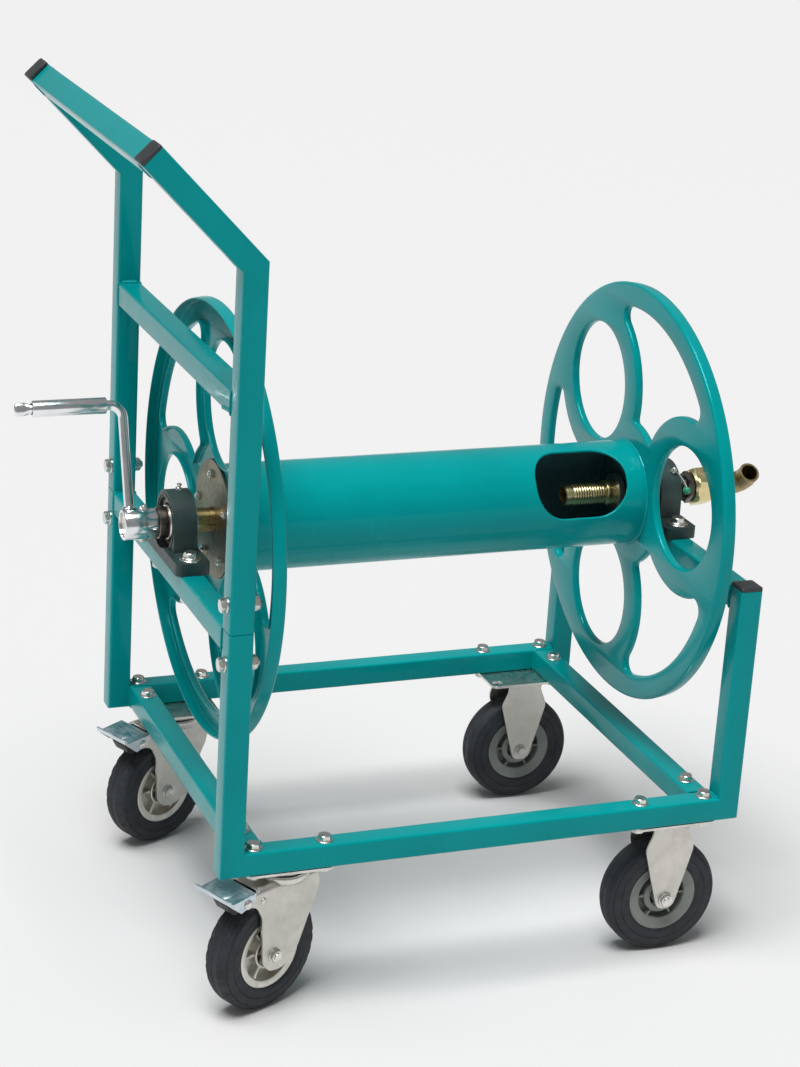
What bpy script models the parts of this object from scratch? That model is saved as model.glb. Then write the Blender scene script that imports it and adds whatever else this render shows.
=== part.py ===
"""Garden hose reel cart: square-tube frame, push handle, drum reel in two pillow
blocks, hand crank, swivel water inlet, two braked swivel casters and two fixed ones."""

import math

import bmesh
import bpy
from mathutils import Matrix, Vector
from mathutils.geometry import tessellate_polygon

for old in list(bpy.data.objects):
    bpy.data.objects.remove(old, do_unlink=True)

# Driving dimensions, in millimetres. X runs along the reel, from the handle end at 0.
# Y runs from the front frame to the back one. Z is 0 at the underside of the rails.
LENGTH = 578.0
DEPTH = 458.0
TUBE = 25.0
WALL = 1.5
GAP = 0.3
SEAM_Z = 260.5
RAIL_HEIGHT = 157.0
BOX_MIDDLE_X = 265.4
BOX_MIDDLE_Y = 215.7
HANDLE_BEND_Z = 620.9
HANDLE_ANGLE = math.radians(45.76)
HANDLE_REACH = 143.9
HANDLE_BAR_Z = 498.5
CAP = 4.3
AXIS_Z = 297.0
MID_Y = DEPTH / 2
SHAFT_R = 12.5
BORE_R = 12.8
DISC_R = 231.0
DISC_LIP_R = 229.0
DISC_LEFT_FACE = 56.0
DISC_RIGHT_FACE = 524.5
SHEET = 2.0
RIM_DEPTH = 14.3
HOLE_R = 65.5
HOLE_CENTRE_R = 135.5
HOLE_DEPTH = 8.0
KIDNEY_OUTER = 204.5
KIDNEY_INNER = 80.5
KIDNEY_RING = 96.5
DISC_TURN_RIGHT = 49.0
DISC_TURN_LEFT = 103.0
DRUM_R = 57.0
DRUM_WALL = 2.5
WINDOW_X = 448.5
WINDOW_LENGTH = 107.0
WINDOW_WIDTH = 76.0
WINDOW_ANGLE = math.radians(34.0)
CRANK_X = -37.0
CRANK_R = 123.0
CRANK_ANGLE = math.radians(70.0)
ROD_R = 5.0
ELBOW_X = 668.0
WHEEL_R = 64.0
TYRE_SIDES = 24
WHEEL_DROP = 93.0
SWIVEL_X = 75.0
CASTER_Y = 33.0
FIXED_X = 507.0
TRAIL = 24.4
TRAIL_ANGLE = math.radians(204.2)

X_AXIS = Vector((1, 0, 0))
MIDDLE = Vector((LENGTH / 2, MID_Y, AXIS_Z))

MATERIALS = {
    "teal_paint": ((0.0, 0.21, 0.20), 0.28, 0.0),
    "black_plastic": ((0.03, 0.03, 0.035), 0.5, 0.0),
    "zinc_steel": ((0.62, 0.61, 0.58), 0.38, 1.0),
    "olive_zinc": ((0.36, 0.34, 0.22), 0.42, 1.0),
    "yellow_zinc": ((0.62, 0.50, 0.24), 0.35, 1.0),
    "chrome": ((0.80, 0.80, 0.80), 0.12, 1.0),
    "cast_iron": ((0.03, 0.06, 0.055), 0.6, 0.3),
    "bearing_steel": ((0.45, 0.44, 0.42), 0.3, 1.0),
    "brass": ((0.66, 0.55, 0.26), 0.3, 1.0),
    "tyre_rubber": ((0.02, 0.022, 0.025), 0.7, 0.0),
    "pale_hub": ((0.62, 0.60, 0.54), 0.45, 0.2),
    "grey_hub": ((0.20, 0.21, 0.20), 0.5, 0.2),
}


def material(slot):
    """The shared material of this slot, made on first use."""
    found = bpy.data.materials.get(slot)
    if found:
        return found
    colour, roughness, metallic = MATERIALS[slot]
    made = bpy.data.materials.new(slot)
    made.use_nodes = True
    shader = made.node_tree.nodes["Principled BSDF"]
    shader.inputs["Base Color"].default_value = (*colour, 1.0)
    shader.inputs["Roughness"].default_value = roughness
    shader.inputs["Metallic"].default_value = metallic
    return made


def world(point):
    """Metres, with the floor at 0 and the middle of the whole cart's box above it."""
    return Vector(
        (
            (point[0] - BOX_MIDDLE_X) / 1000,
            (point[1] - BOX_MIDDLE_Y) / 1000,
            (point[2] + RAIL_HEIGHT) / 1000,
        )
    )


def add(name, points, faces, slot, origin=MIDDLE, smooth=False):
    """One object from millimetre points, with its origin at the given point."""
    base = world(origin)
    mesh = bpy.data.meshes.new(name)
    mesh.from_pydata([world(p) - base for p in points], [], faces)
    tidy = bmesh.new()
    tidy.from_mesh(mesh)
    bmesh.ops.recalc_face_normals(tidy, faces=tidy.faces)
    tidy.to_mesh(mesh)
    tidy.free()
    mesh.materials.append(material(slot))
    obj = bpy.data.objects.new(name, mesh)
    obj.location = base
    bpy.context.scene.collection.objects.link(obj)
    if smooth:
        mesh.shade_smooth()
        mesh.set_sharp_from_angle(angle=math.radians(35))
    return obj


def rings_mesh(rings, cyclic):
    """Quads between rings of equal length, closed on themselves or capped."""
    count = len(rings[0])
    points = [p for ring in rings for p in ring]
    last = len(rings) if cyclic else len(rings) - 1
    faces = []
    for i in range(last):
        a = i * count
        b = ((i + 1) % len(rings)) * count
        for j in range(count):
            k = (j + 1) % count
            faces.append((a + j, a + k, b + k, b + j))
    if not cyclic:
        faces.append(tuple(range(count - 1, -1, -1)))
        faces.append(tuple(range(len(points) - count, len(points))))
    return points, faces


def square(half, cut):
    """The eight corners of a square with cut corners."""
    far = half - cut
    return [
        (half, -far),
        (half, far),
        (far, half),
        (-far, half),
        (-half, far),
        (-half, -far),
        (-far, -half),
        (far, -half),
    ]


def circle(radius, count, flat=1.0):
    """Points round a circle, pressed flat in its second direction by the factor."""
    turns = [2 * math.pi * (i + 0.5) / count for i in range(count)]
    return [(radius * math.cos(t), radius * flat * math.sin(t)) for t in turns]


def hexagon(across, count=12):
    """A hexagon by its width across flats, with a point at each corner and mid side."""
    out = []
    for i in range(count):
        turn = 2 * math.pi * i / count
        radius = across / 2 if i % 2 == 0 else across / 2 / math.cos(math.pi / 6)
        out.append((radius * math.cos(turn), radius * math.sin(turn)))
    return out


def path_rings(path, side, section):
    """The section at each point of a path, mitred, with its first direction in the
    path's plane and its second along side."""
    rings = []
    side = Vector(side).normalized()
    for i, here in enumerate(path):
        here = Vector(here)
        ahead = Vector(path[min(i + 1, len(path) - 1)]) - here
        behind = here - Vector(path[max(i - 1, 0)])
        ahead = (ahead if i < len(path) - 1 else behind).normalized()
        behind = (behind if i > 0 else ahead).normalized()
        out_a = side.cross(ahead)
        out_b = side.cross(behind)
        out = (out_a + out_b) / (1 + out_a.dot(out_b))
        rings.append([here + out * u + side * v for u, v in section])
    return rings


def hollow(name, path, side, outer, inner, slot, origin=MIDDLE, smooth=False):
    """A tube along a path, open at both ends."""
    rings = path_rings(path, side, outer) + path_rings(path, side, inner)[::-1]
    return add(name, *rings_mesh(rings, True), slot, origin, smooth)


def square_tube(name, path, side=(0, 1, 0)):
    """A frame tube with its welded ends open inside their neighbours."""
    outer = square(TUBE / 2, 1.6)
    inner = square(TUBE / 2 - WALL, 0.7)
    return hollow(name, path, side, outer, inner, "teal_paint")


def lathe(name, profile, start, axis, count, slot, origin=MIDDLE, smooth=True):
    """A closed profile of (radius, distance) turned about an axis from start."""
    axis = Vector(axis).normalized()
    across = Vector((0, 0, 1))
    up = axis.cross(across)
    rings = []
    for i in range(count):
        turn = 2 * math.pi * (i + 0.5) / count
        out = across * math.cos(turn) + up * math.sin(turn)
        rings.append([Vector(start) + out * r + axis * d for r, d in profile])
    return add(name, *rings_mesh(rings, True), slot, origin, smooth)


def rod(name, steps, start, axis, slot, origin=MIDDLE, smooth=True):
    """A solid of (section, distance) steps along an axis."""
    axis = Vector(axis).normalized()
    across = Vector((0, 1, 0)) if abs(axis.y) < 0.9 else Vector((1, 0, 0))
    across = (across - axis * across.dot(axis)).normalized()
    up = axis.cross(across)
    rings = [
        [Vector(start) + axis * d + across * u + up * v for u, v in section]
        for section, d in steps
    ]
    return add(name, *rings_mesh(rings, False), slot, origin, smooth)


def slab(name, outline, holes, low, high, frame, slot, origin=MIDDLE):
    """A flat plate: outline and holes in the frame's first two directions, from low to
    high along its third. The frame is (start, first, second, third)."""
    start, first, second, third = [Vector(v) for v in frame]
    loops = [outline] + list(holes)
    flat = [[Vector((u, v, 0)) for u, v in loop] for loop in loops]
    count = sum(len(loop) for loop in loops)
    points = []
    for level in (low, high):
        for loop in loops:
            points += [start + first * u + second * v + third * level for u, v in loop]
    faces = []
    for a, b, c in tessellate_polygon(flat):
        faces.append((a, b, c))
        faces.append((a + count, b + count, c + count))
    base = 0
    for loop in loops:
        size = len(loop)
        for j in range(size):
            k = (j + 1) % size
            faces.append((base + j, base + k, base + k + count, base + j + count))
        base += size
    return add(name, points, faces, slot, origin)


def helper(obj):
    """Marks an object as a cutter or an operand of a Boolean."""
    obj.hide_render = True
    obj.display_type = "WIRE"
    return obj


def boolean(obj, other, operation):
    """Adds an exact Boolean with a helper object."""
    step = obj.modifiers.new(operation.lower(), "BOOLEAN")
    step.operation = operation
    step.solver = "EXACT"
    step.object = helper(other)


def box(centre, size):
    """The outline of a rectangle."""
    u, v = centre
    a, b = size[0] / 2, size[1] / 2
    return [(u - a, v - b), (u + a, v - b), (u + a, v + b), (u - a, v + b)]


def make_frame():
    """Front and back U-frames, and the four cross tubes between them."""
    low = TUBE / 2
    for name, y in (("frame_front", low), ("frame_back", DEPTH - low)):
        path = [
            (low, y, SEAM_Z),
            (low, y, low),
            (LENGTH - low, y, low),
            (LENGTH - low, y, SEAM_Z),
        ]
        square_tube(name, path)
    for name, x, z in (
        ("cross_rail_left", TUBE * 1.5, low),
        ("cross_rail_right", LENGTH - TUBE * 1.5, low),
        ("bearing_bar_left", low, SEAM_Z - low),
        ("bearing_bar_right", LENGTH - low, SEAM_Z - low),
    ):
        path = [(x, TUBE + GAP, z), (x, DEPTH - TUBE - GAP, z)]
        bar = square_tube(name, path, (1, 0, 0))
        if name.startswith("bearing"):
            for sign in (-1, 1):
                hole = rod(
                    f"{name}_hole{sign}",
                    [(circle(5.6, 12), -40), (circle(5.6, 12), 20)],
                    (x, MID_Y + sign * 52.5, SEAM_Z),
                    (0, 0, 1),
                    "teal_paint",
                )
                boolean(bar, hole, "DIFFERENCE")


def make_handle():
    """Two bent uprights on inner sleeves, their bars and end caps."""
    low = TUBE / 2
    lean = Vector((-math.cos(HANDLE_ANGLE), 0, math.sin(HANDLE_ANGLE)))
    for name, y in (("front", low), ("back", DEPTH - low)):
        bend = Vector((low, y, HANDLE_BEND_Z))
        end = bend + lean * HANDLE_REACH
        square_tube(f"handle_post_{name}", [(low, y, SEAM_Z + GAP), bend, end])
        hollow(
            f"post_sleeve_{name}",
            [(low, y, SEAM_Z - 58), (low, y, SEAM_Z + 58)],
            (0, 1, 0),
            square(10.6, 1.2),
            square(9.4, 0.6),
            "zinc_steel",
        )
        for place, start, axis in (
            ("handle", end, lean),
            ("post", Vector((LENGTH - low, y, SEAM_Z)), Vector((0, 0, 1))),
        ):
            steps = [
                (square(10.4, 1.5), -9.0),
                (square(10.4, 1.5), GAP),
                (square(low, 1.6), GAP),
                (square(low, 1.6), CAP - 0.8),
                (square(low - 0.8, 1.6), CAP),
            ]
            rod(f"cap_{place}_{name}", steps, start, axis, "black_plastic", smooth=False)
    bar_ends = (TUBE + GAP, DEPTH - TUBE - GAP)
    square_tube(
        "handle_bar",
        [(low, y, HANDLE_BAR_Z - low) for y in bar_ends],
        (1, 0, 0),
    )
    grip = Vector((low, 0, HANDLE_BEND_Z)) + lean * (HANDLE_REACH - low)
    square_tube(
        "push_bar",
        [(grip.x, y, grip.z) for y in bar_ends],
        lean,
    )


def arc(centre, radius, start, stop, steps):
    """Points on an arc, in degrees, both ends included."""
    turns = [math.radians(start + (stop - start) * i / steps) for i in range(steps + 1)]
    return [
        (centre[0] + radius * math.cos(t), centre[1] + radius * math.sin(t))
        for t in turns
    ]


def polar(radius, degrees):
    """The point at this radius and angle."""
    turn = math.radians(degrees)
    return (radius * math.cos(turn), radius * math.sin(turn))


def between(centre, point):
    """The direction from centre to point, in degrees."""
    return math.degrees(math.atan2(point[1] - centre[1], point[0] - centre[0]))


def kidney(turn, grow):
    """The opening between two round holes, its middle at turn degrees, grown by grow:
    an outer arc, an arc round each hole, an arc round the hub, and round corners."""
    outer = KIDNEY_OUTER + grow
    inner = KIDNEY_INNER - grow
    ring = KIDNEY_RING - grow
    far_r = 11.5 + grow
    near_r = 5.0 + grow
    hole = polar(HOLE_CENTRE_R, 60)

    def corner(radius, reach):
        cosine = (radius**2 + HOLE_CENTRE_R**2 - reach**2) / (2 * radius * HOLE_CENTRE_R)
        return polar(radius, 60 - math.degrees(math.acos(cosine)))

    far = corner(outer - far_r, ring + far_r)
    near = corner(inner + near_r, ring + near_r)
    far_turn = between((0, 0), far)
    near_turn = between((0, 0), near)
    half = arc((0, 0), outer, 0, far_turn, 3)
    half += arc(far, far_r, far_turn, between(far, hole), 3)[1:]
    half += arc(hole, ring, between(hole, far) + 360, between(hole, near) + 360, 5)[1:]
    half += arc(near, near_r, between(near, hole), near_turn + 180, 2)[1:]
    half += arc((0, 0), inner, near_turn, 0, 1)[1:]
    whole = half + [(u, -v) for u, v in half[-2:0:-1]]
    cosine = math.cos(math.radians(turn))
    sine = math.sin(math.radians(turn))
    return [(u * cosine - v * sine, u * sine + v * cosine) for u, v in whole]


def make_disc(name, turn, face, outward):
    """A pressed reel side: a web with six openings, flanged outward at its rim and at
    each opening. Its inner face lies at x = face."""
    steps = 48
    openings = [
        lambda grow, k=k: [
            (
                HOLE_CENTRE_R * math.cos(math.radians(turn + 120 * k)) + u,
                HOLE_CENTRE_R * math.sin(math.radians(turn + 120 * k)) + v,
            )
            for u, v in circle(HOLE_R + grow, 20)
        ]
        for k in range(3)
    ]
    openings += [
        lambda grow, k=k: kidney(turn + 60 + 120 * k, grow) for k in range(3)
    ]
    walls = [
        [
            (circle(DISC_R - 3.5, steps), 0),
            (circle(DISC_R, steps), 3.5),
            (circle(DISC_LIP_R, steps), RIM_DEPTH),
            (circle(DISC_LIP_R - 2, steps), RIM_DEPTH),
            (circle(DISC_R - 3, steps), SHEET),
        ]
    ]
    for shape in openings:
        walls.append(
            [
                (shape(2.5), 0),
                (shape(0.0), 2.5),
                (shape(0.0), HOLE_DEPTH),
                (shape(2.0), HOLE_DEPTH),
                (shape(3.0), SHEET),
            ]
        )
    walls.append([(circle(BORE_R, 16), 0), (circle(BORE_R, 16), SHEET)])
    points = []
    faces = []
    near_ids = []
    far_ids = []
    for wall in walls:
        size = len(wall[0][0])
        base = len(points)
        for loop, depth in wall:
            points += [
                Vector((face + outward * depth, MID_Y + u, AXIS_Z + v)) for u, v in loop
            ]
        for i in range(len(wall) - 1):
            for j in range(size):
                k = (j + 1) % size
                a = base + i * size
                b = a + size
                faces.append((a + j, a + k, b + k, b + j))
        near_ids.append([base + j for j in range(size)])
        top = base + (len(wall) - 1) * size
        far_ids.append([top + j for j in range(size)])
    for ids in (near_ids, far_ids):
        flat = [[Vector((points[i].y, points[i].z, 0)) for i in loop] for loop in ids]
        order = [i for loop in ids for i in loop]
        for triangle in tessellate_polygon(flat):
            faces.append(tuple(order[i] for i in triangle))
    return add(name, points, faces, "teal_paint")


def make_reel():
    """The drum, its two sides, hub plates, shafts and the hose connector inside."""
    make_disc("reel_disc_left", DISC_TURN_LEFT, DISC_LEFT_FACE, -1)
    make_disc("reel_disc_right", DISC_TURN_RIGHT, DISC_RIGHT_FACE, 1)
    low = DISC_LEFT_FACE + GAP
    high = DISC_RIGHT_FACE - GAP
    bore = DRUM_R - DRUM_WALL
    profile = [
        (BORE_R, low),
        (DRUM_R, low),
        (DRUM_R, high),
        (BORE_R, high),
        (BORE_R, high - 4),
        (bore, high - 4),
        (bore, low + 4),
        (BORE_R, low + 4),
    ]
    axis_start = (0, MID_Y, AXIS_Z)
    drum = lathe("reel_drum", profile, axis_start, X_AXIS, 32, "teal_paint")
    outward = Vector((0, -math.cos(WINDOW_ANGLE), math.sin(WINDOW_ANGLE)))
    half_l = WINDOW_LENGTH / 2 - 34
    half_w = WINDOW_WIDTH / 2 - 34
    outline = []
    for u, v, start in (
        (half_l, half_w, 0),
        (-half_l, half_w, 90),
        (-half_l, -half_w, 180),
        (half_l, -half_w, 270),
    ):
        outline += arc((u, v), 34, start, start + 90, 5)
    cutter = slab(
        "window_cutter",
        outline,
        [],
        20,
        90,
        (
            (WINDOW_X, MID_Y, AXIS_Z),
            X_AXIS,
            outward.cross(X_AXIS),
            outward,
        ),
        "teal_paint",
    )
    boolean(drum, cutter, "DIFFERENCE")
    for name, face, way in (
        ("hub_plate_left", DISC_LEFT_FACE - SHEET - GAP, -1),
        ("hub_plate_right", DISC_RIGHT_FACE + SHEET + GAP, 1),
    ):
        profile = [(BORE_R, 0), (62.5, 0), (62.5, 3), (BORE_R, 3)]
        start = (face, MID_Y, AXIS_Z)
        lathe(name, profile, start, X_AXIS * way, 32, "olive_zinc")
    round_r = circle(SHAFT_R, 24)
    steps = [(round_r, -44), (round_r, 64)]
    rod("shaft_left", steps, axis_start, X_AXIS, "yellow_zinc")
    profile = [(8, 515.5), (SHAFT_R, 515.5), (SHAFT_R, 616), (8, 616)]
    lathe("shaft_right_pipe", profile, axis_start, X_AXIS, 24, "yellow_zinc")
    profile = [
        (7.5, 449),
        (10.5, 449),
        (12, 453),
        (12, 501),
        (15, 501),
        (15, 515.2),
        (7.5, 515.2),
    ]
    lathe("hose_connector", profile, axis_start, X_AXIS, 20, "brass")


def make_bearings():
    """Two cast pillow blocks with their inner rings and holding bolts."""
    base_z = SEAM_Z + GAP
    for name, x, way in (("left", TUBE / 2, -1), ("right", LENGTH - TUBE / 2, 1)):
        frame = ((x, MID_Y, base_z), (1, 0, 0), (0, 1, 0), (0, 0, 1))
        outline = [
            (-19, -63),
            (-13, -70),
            (13, -70),
            (19, -63),
            (19, 63),
            (13, 70),
            (-13, 70),
            (-19, 63),
        ]
        slots = [
            [(u, v + s * 52.5) for u, v in circle(6.2, 12)] for s in (-1, 1)
        ]
        block = slab(f"pillow_block_{name}", outline, slots, 0, 14, frame, "cast_iron")
        shell = rod(
            f"block_{name}_shell",
            [(circle(32.5, 20), -16), (circle(34.5, 20), -14), (circle(34.5, 20), 14),
             (circle(32.5, 20), 16)],
            (x, MID_Y, AXIS_Z),
            X_AXIS,
            "cast_iron",
        )
        boolean(block, shell, "UNION")
        bore = rod(
            f"block_{name}_bore",
            [(circle(25, 20), -30), (circle(25, 20), -10), (circle(17.6, 20), -9.5),
             (circle(17.6, 20), 9.5), (circle(25, 20), 10), (circle(25, 20), 30)],
            (x, MID_Y, AXIS_Z),
            X_AXIS,
            "cast_iron",
        )
        boolean(block, bore, "DIFFERENCE")
        for sign, place in ((-1, "front"), (1, "back")):
            steps = [
                (hexagon(17), -33.2),
                (hexagon(17), -25.4),
                (circle(5, 12), -25.4),
                (circle(5, 12), 14 + GAP),
                (circle(11, 12), 14 + GAP),
                (circle(11, 12), 16 + GAP),
                (hexagon(17), 16 + GAP),
                (hexagon(17), 23.5),
            ]
            rod(
                f"block_bolt_{name}_{place}",
                steps,
                (x, MID_Y + sign * 52.5, base_z),
                (0, 0, 1),
                "zinc_steel",
                smooth=False,
            )
        profile = [(BORE_R, -14.3), (17, -14.3), (17, 19.8), (BORE_R, 19.8)]
        lathe(
            f"bearing_ring_{name}",
            profile,
            (x, MID_Y, AXIS_Z),
            X_AXIS * way,
            24,
            "bearing_steel",
        )


def make_crank():
    """The crank's hub tube, its bent rod and the free-turning sleeve."""
    profile = [(BORE_R, -47), (16, -47), (16, -10), (BORE_R, -10)]
    lathe("crank_hub", profile, (0, MID_Y, AXIS_Z), X_AXIS, 28, "chrome")
    out = Vector((0, math.cos(CRANK_ANGLE), math.sin(CRANK_ANGLE)))
    centre = Vector((CRANK_X, MID_Y, AXIS_Z))
    turn_r = 14.0
    path = [centre + out * 16.4]
    middle = centre + out * (CRANK_R - turn_r) - X_AXIS * turn_r
    for i in range(6):
        angle = math.radians(18 * i)
        path.append(
            middle + X_AXIS * turn_r * math.cos(angle) + out * turn_r * math.sin(angle)
        )
    end = centre + out * CRANK_R
    side = X_AXIS.cross(out)
    path.append(end - X_AXIS * 95.0)
    rings = path_rings(path, side, circle(ROD_R, 12))
    last = [p - path[-1] for p in rings[-1]]
    for reach in (100.0, 112.0):
        tip = end - X_AXIS * reach
        wide = [tip + side * p.dot(side) * 0.6 + out * p.dot(out) * 1.3 for p in last]
        rings.append(wide)
    add("crank_rod", *rings_mesh(rings, False), "chrome", smooth=True)
    profile = [(6.3, 17), (8.5, 17), (8.5, 94), (6.3, 94)]
    lathe("crank_grip", profile, end, -X_AXIS, 20, "chrome", end)


def make_inlet():
    """The union nut on the pipe and the elbow that turns in it."""
    axis_start = (0, MID_Y, AXIS_Z)
    outer = hexagon(37)
    inner = [
        (13.5 * math.cos(math.pi * i / 6), 13.5 * math.sin(math.pi * i / 6))
        for i in range(12)
    ]
    along = [Vector((x, MID_Y, AXIS_Z)) for x in (608, 624.5)]
    rings = path_rings(along, (0, 1, 0), outer) + path_rings(along, (0, 1, 0), inner)[::-1]
    add("union_nut", *rings_mesh(rings, True), "brass")
    lean = Vector((0, -math.sin(math.pi / 4), math.sin(math.pi / 4)))
    corner = Vector(axis_start) + X_AXIS * ELBOW_X
    bend = 17.0
    path = [Vector(axis_start) + X_AXIS * 618]
    middle = corner - X_AXIS * bend + lean * bend
    for i in range(6):
        angle = math.radians(18 * i)
        path.append(
            middle + X_AXIS * bend * math.sin(angle) - lean * bend * math.cos(angle)
        )
    path.append(corner + lean * 27)
    side = X_AXIS.cross(lean)
    hollow(
        "inlet_elbow",
        path,
        side,
        circle(12.2, 12),
        circle(8.5, 12),
        "brass",
        corner,
        True,
    )


def make_wheel(name, centre, axle, hub_slot):
    """A tyre on its hub, both turning about the axle."""
    flat = math.cos(math.pi / TYRE_SIDES)
    tyre = [
        (39.3, -13.5),
        (48, -16.5),
        (59, -15.5),
        (WHEEL_R, -8.5),
        (WHEEL_R, 8.5),
        (59, 15.5),
        (48, 16.5),
        (39.3, 13.5),
    ]
    tyre = [(r / flat, d) for r, d in tyre]
    lathe(f"tyre_{name}", tyre, centre, axle, TYRE_SIDES, "tyre_rubber", centre)
    hub = [
        (4.4, -17),
        (12, -17),
        (12, -4),
        (30, -4),
        (32, -14),
        (39, -14),
        (39, 14),
        (32, 14),
        (30, 4),
        (12, 4),
        (12, 17),
        (4.4, 17),
    ]
    lathe(f"wheel_hub_{name}", hub, centre, axle, 16, hub_slot, centre)
    steps = [
        (hexagon(13), -28.6),
        (hexagon(13), -22.3),
        (circle(4, 12), -22.3),
        (circle(4, 12), 22.3),
        (hexagon(13), 22.3),
        (hexagon(13), 28.0),
    ]
    rod(f"axle_{name}", steps, centre, axle, "zinc_steel", centre, smooth=False)


def leg_frame(centre, along, axle):
    """A frame for outlines in (along, up), with its third direction along the axle."""
    return (centre, along, (0, 0, 1), axle)


def axle_hole(name, centre, axle, radius):
    """A long round cutter across a fork."""
    return rod(
        name,
        [(circle(radius, 12), -40), (circle(radius, 12), 40)],
        centre,
        axle,
        "zinc_steel",
    )


def make_swivel_caster(name, y):
    """Top plate with kingpin, turning fork, wheel, and total-lock brake pedal."""
    hub = Vector((SWIVEL_X, y, 0))
    along = Vector((math.cos(TRAIL_ANGLE), math.sin(TRAIL_ANGLE), 0))
    axle = Vector((-along.y, along.x, 0))
    centre = hub + along * TRAIL - Vector((0, 0, WHEEL_DROP))
    top = slab(
        f"caster_plate_{name}",
        box((0, 0), (95, 64)),
        [],
        -3.3,
        -GAP,
        (hub, (1, 0, 0), (0, 1, 0), (0, 0, 1)),
        "zinc_steel",
        hub,
    )
    race = rod(
        f"race_{name}",
        [
            (circle(9, 24), -21),
            (circle(9, 24), -17),
            (circle(5, 24), -17),
            (circle(5, 24), -8.1),
            (circle(25, 24), -8.1),
            (circle(27, 24), -5),
            (circle(27, 24), -2),
        ],
        hub,
        (0, 0, 1),
        "zinc_steel",
        hub,
    )
    boolean(top, race, "UNION")
    outside = [
        (-22, -120), (-22, -16), (-18, -12), (18, -12), (22, -16), (22, -120),
        (19.3, -120), (19.3, -16.5), (17, -14.5), (-17, -14.5), (-19.3, -16.5),
        (-19.3, -120),
    ]
    fork = slab(
        f"caster_fork_{name}",
        outside,
        [],
        -50,
        90,
        (hub, axle, (0, 0, 1), along),
        "zinc_steel",
        hub,
    )
    leg = [(-31, -5), (-34, -27), (-31, -44), (-21, -62), (-10, -88)]
    leg += arc((TRAIL, -WHEEL_DROP), 15, 200, 350, 7)
    leg += [(42, -72), (44, -46), (50, -34)]
    leg += arc((66, -21), 5.3, 285, 450, 7)
    leg += [(49, -15.7), (46, -5)]
    profile = slab(
        f"fork_side_{name}",
        leg,
        [],
        -60,
        60,
        leg_frame(hub, along, axle),
        "zinc_steel",
    )
    boolean(fork, profile, "INTERSECT")
    crown = rod(
        f"fork_crown_{name}",
        [(circle(28, 24), -13), (circle(30, 24), -11), (circle(30, 24), -8.4)],
        hub,
        (0, 0, 1),
        "zinc_steel",
    )
    boolean(fork, crown, "UNION")
    pin_hole = rod(
        f"fork_pin_hole_{name}",
        [(circle(5.5, 12), -30), (circle(5.5, 12), 0)],
        hub,
        (0, 0, 1),
        "zinc_steel",
    )
    boolean(fork, pin_hole, "DIFFERENCE")
    boolean(fork, axle_hole(f"fork_axle_{name}", centre, axle, 4.5), "DIFFERENCE")
    pivot = hub + along * 66 + Vector((0, 0, -21))
    boolean(fork, axle_hole(f"fork_pivot_{name}", pivot, axle, 3.6), "DIFFERENCE")
    make_wheel(name, centre, axle, "pale_hub")
    side = leg_frame(hub, along, axle)
    strip = [(56, -13.8), (62, -14.4), (89.3, -17.4), (92.2, -14.2), (92.6, -9.8)]
    strip += [(90.4, -9.4), (89.4, -12.6), (86.5, -14.9), (62, -12), (56, -11.4)]
    pedal_name = f"brake_pedal_{name}"
    pedal = slab(pedal_name, strip, [], -25.4, 25.4, side, "zinc_steel", pivot)
    cheek = [(57, -12.6), (57, -19), (61, -26), (69, -26.5), (74, -28.6), (84, -21), (88, -16)]
    shoe = [(63, -13.6), (81, -15.6), (81, -25), (75, -35), (68, -39), (63, -30)]
    for place, outline, low, high in (
        ("near", cheek, 23.4, 25.4),
        ("far", cheek, -25.4, -23.4),
        ("shoe", shoe, -11, 11),
    ):
        piece = f"pedal_{place}_{name}"
        boolean(pedal, slab(piece, outline, [], low, high, side, "zinc_steel"), "UNION")
    pin = rod(
        f"pedal_pin_{name}",
        [(circle(3, 12), -28), (circle(3, 12), 28)],
        pivot,
        axle,
        "zinc_steel",
    )
    boolean(pedal, pin, "UNION")


def make_fixed_caster(name, y):
    """A fixed bracket with two legs, and its wheel."""
    hub = Vector((FIXED_X, y, 0))
    along = Vector((1, 0, 0))
    axle = Vector((0, 1, 0))
    centre = hub - Vector((0, 0, WHEEL_DROP))
    bracket = slab(
        f"caster_bracket_{name}",
        box((0, 0), (95, 64)),
        [],
        -3.3,
        -GAP,
        (hub, (1, 0, 0), (0, 1, 0), (0, 0, 1)),
        "zinc_steel",
        hub,
    )
    side = [(21, -1.5), (-21, -1.5), (-21, -14), (-28, -33), (-20, -66), (-12.5, -90)]
    side += arc((0, -WHEEL_DROP), 12.5, 190, 350, 6)
    side += [(12.5, -90), (20, -66), (28, -33), (21, -14)]
    for place, low in (("a", -21.5), ("b", 19)):
        leg = slab(
            f"bracket_leg_{place}_{name}",
            side,
            [],
            low,
            low + 2.5,
            leg_frame(hub, along, axle),
            "zinc_steel",
        )
        boolean(bracket, leg, "UNION")
    boolean(bracket, axle_hole(f"bracket_axle_{name}", centre, axle, 4.5), "DIFFERENCE")
    make_wheel(name, centre, axle, "grey_hub")


make_frame()
make_handle()
make_reel()
make_bearings()
make_crank()
make_inlet()
make_swivel_caster("front_left", CASTER_Y)
make_swivel_caster("back_left", DEPTH - CASTER_Y)
make_fixed_caster("front_right", CASTER_Y)
make_fixed_caster("back_right", DEPTH - CASTER_Y)
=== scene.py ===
import math

import bmesh
import bpy
from mathutils import Matrix, Vector
from mathutils.geometry import tessellate_polygon

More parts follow.
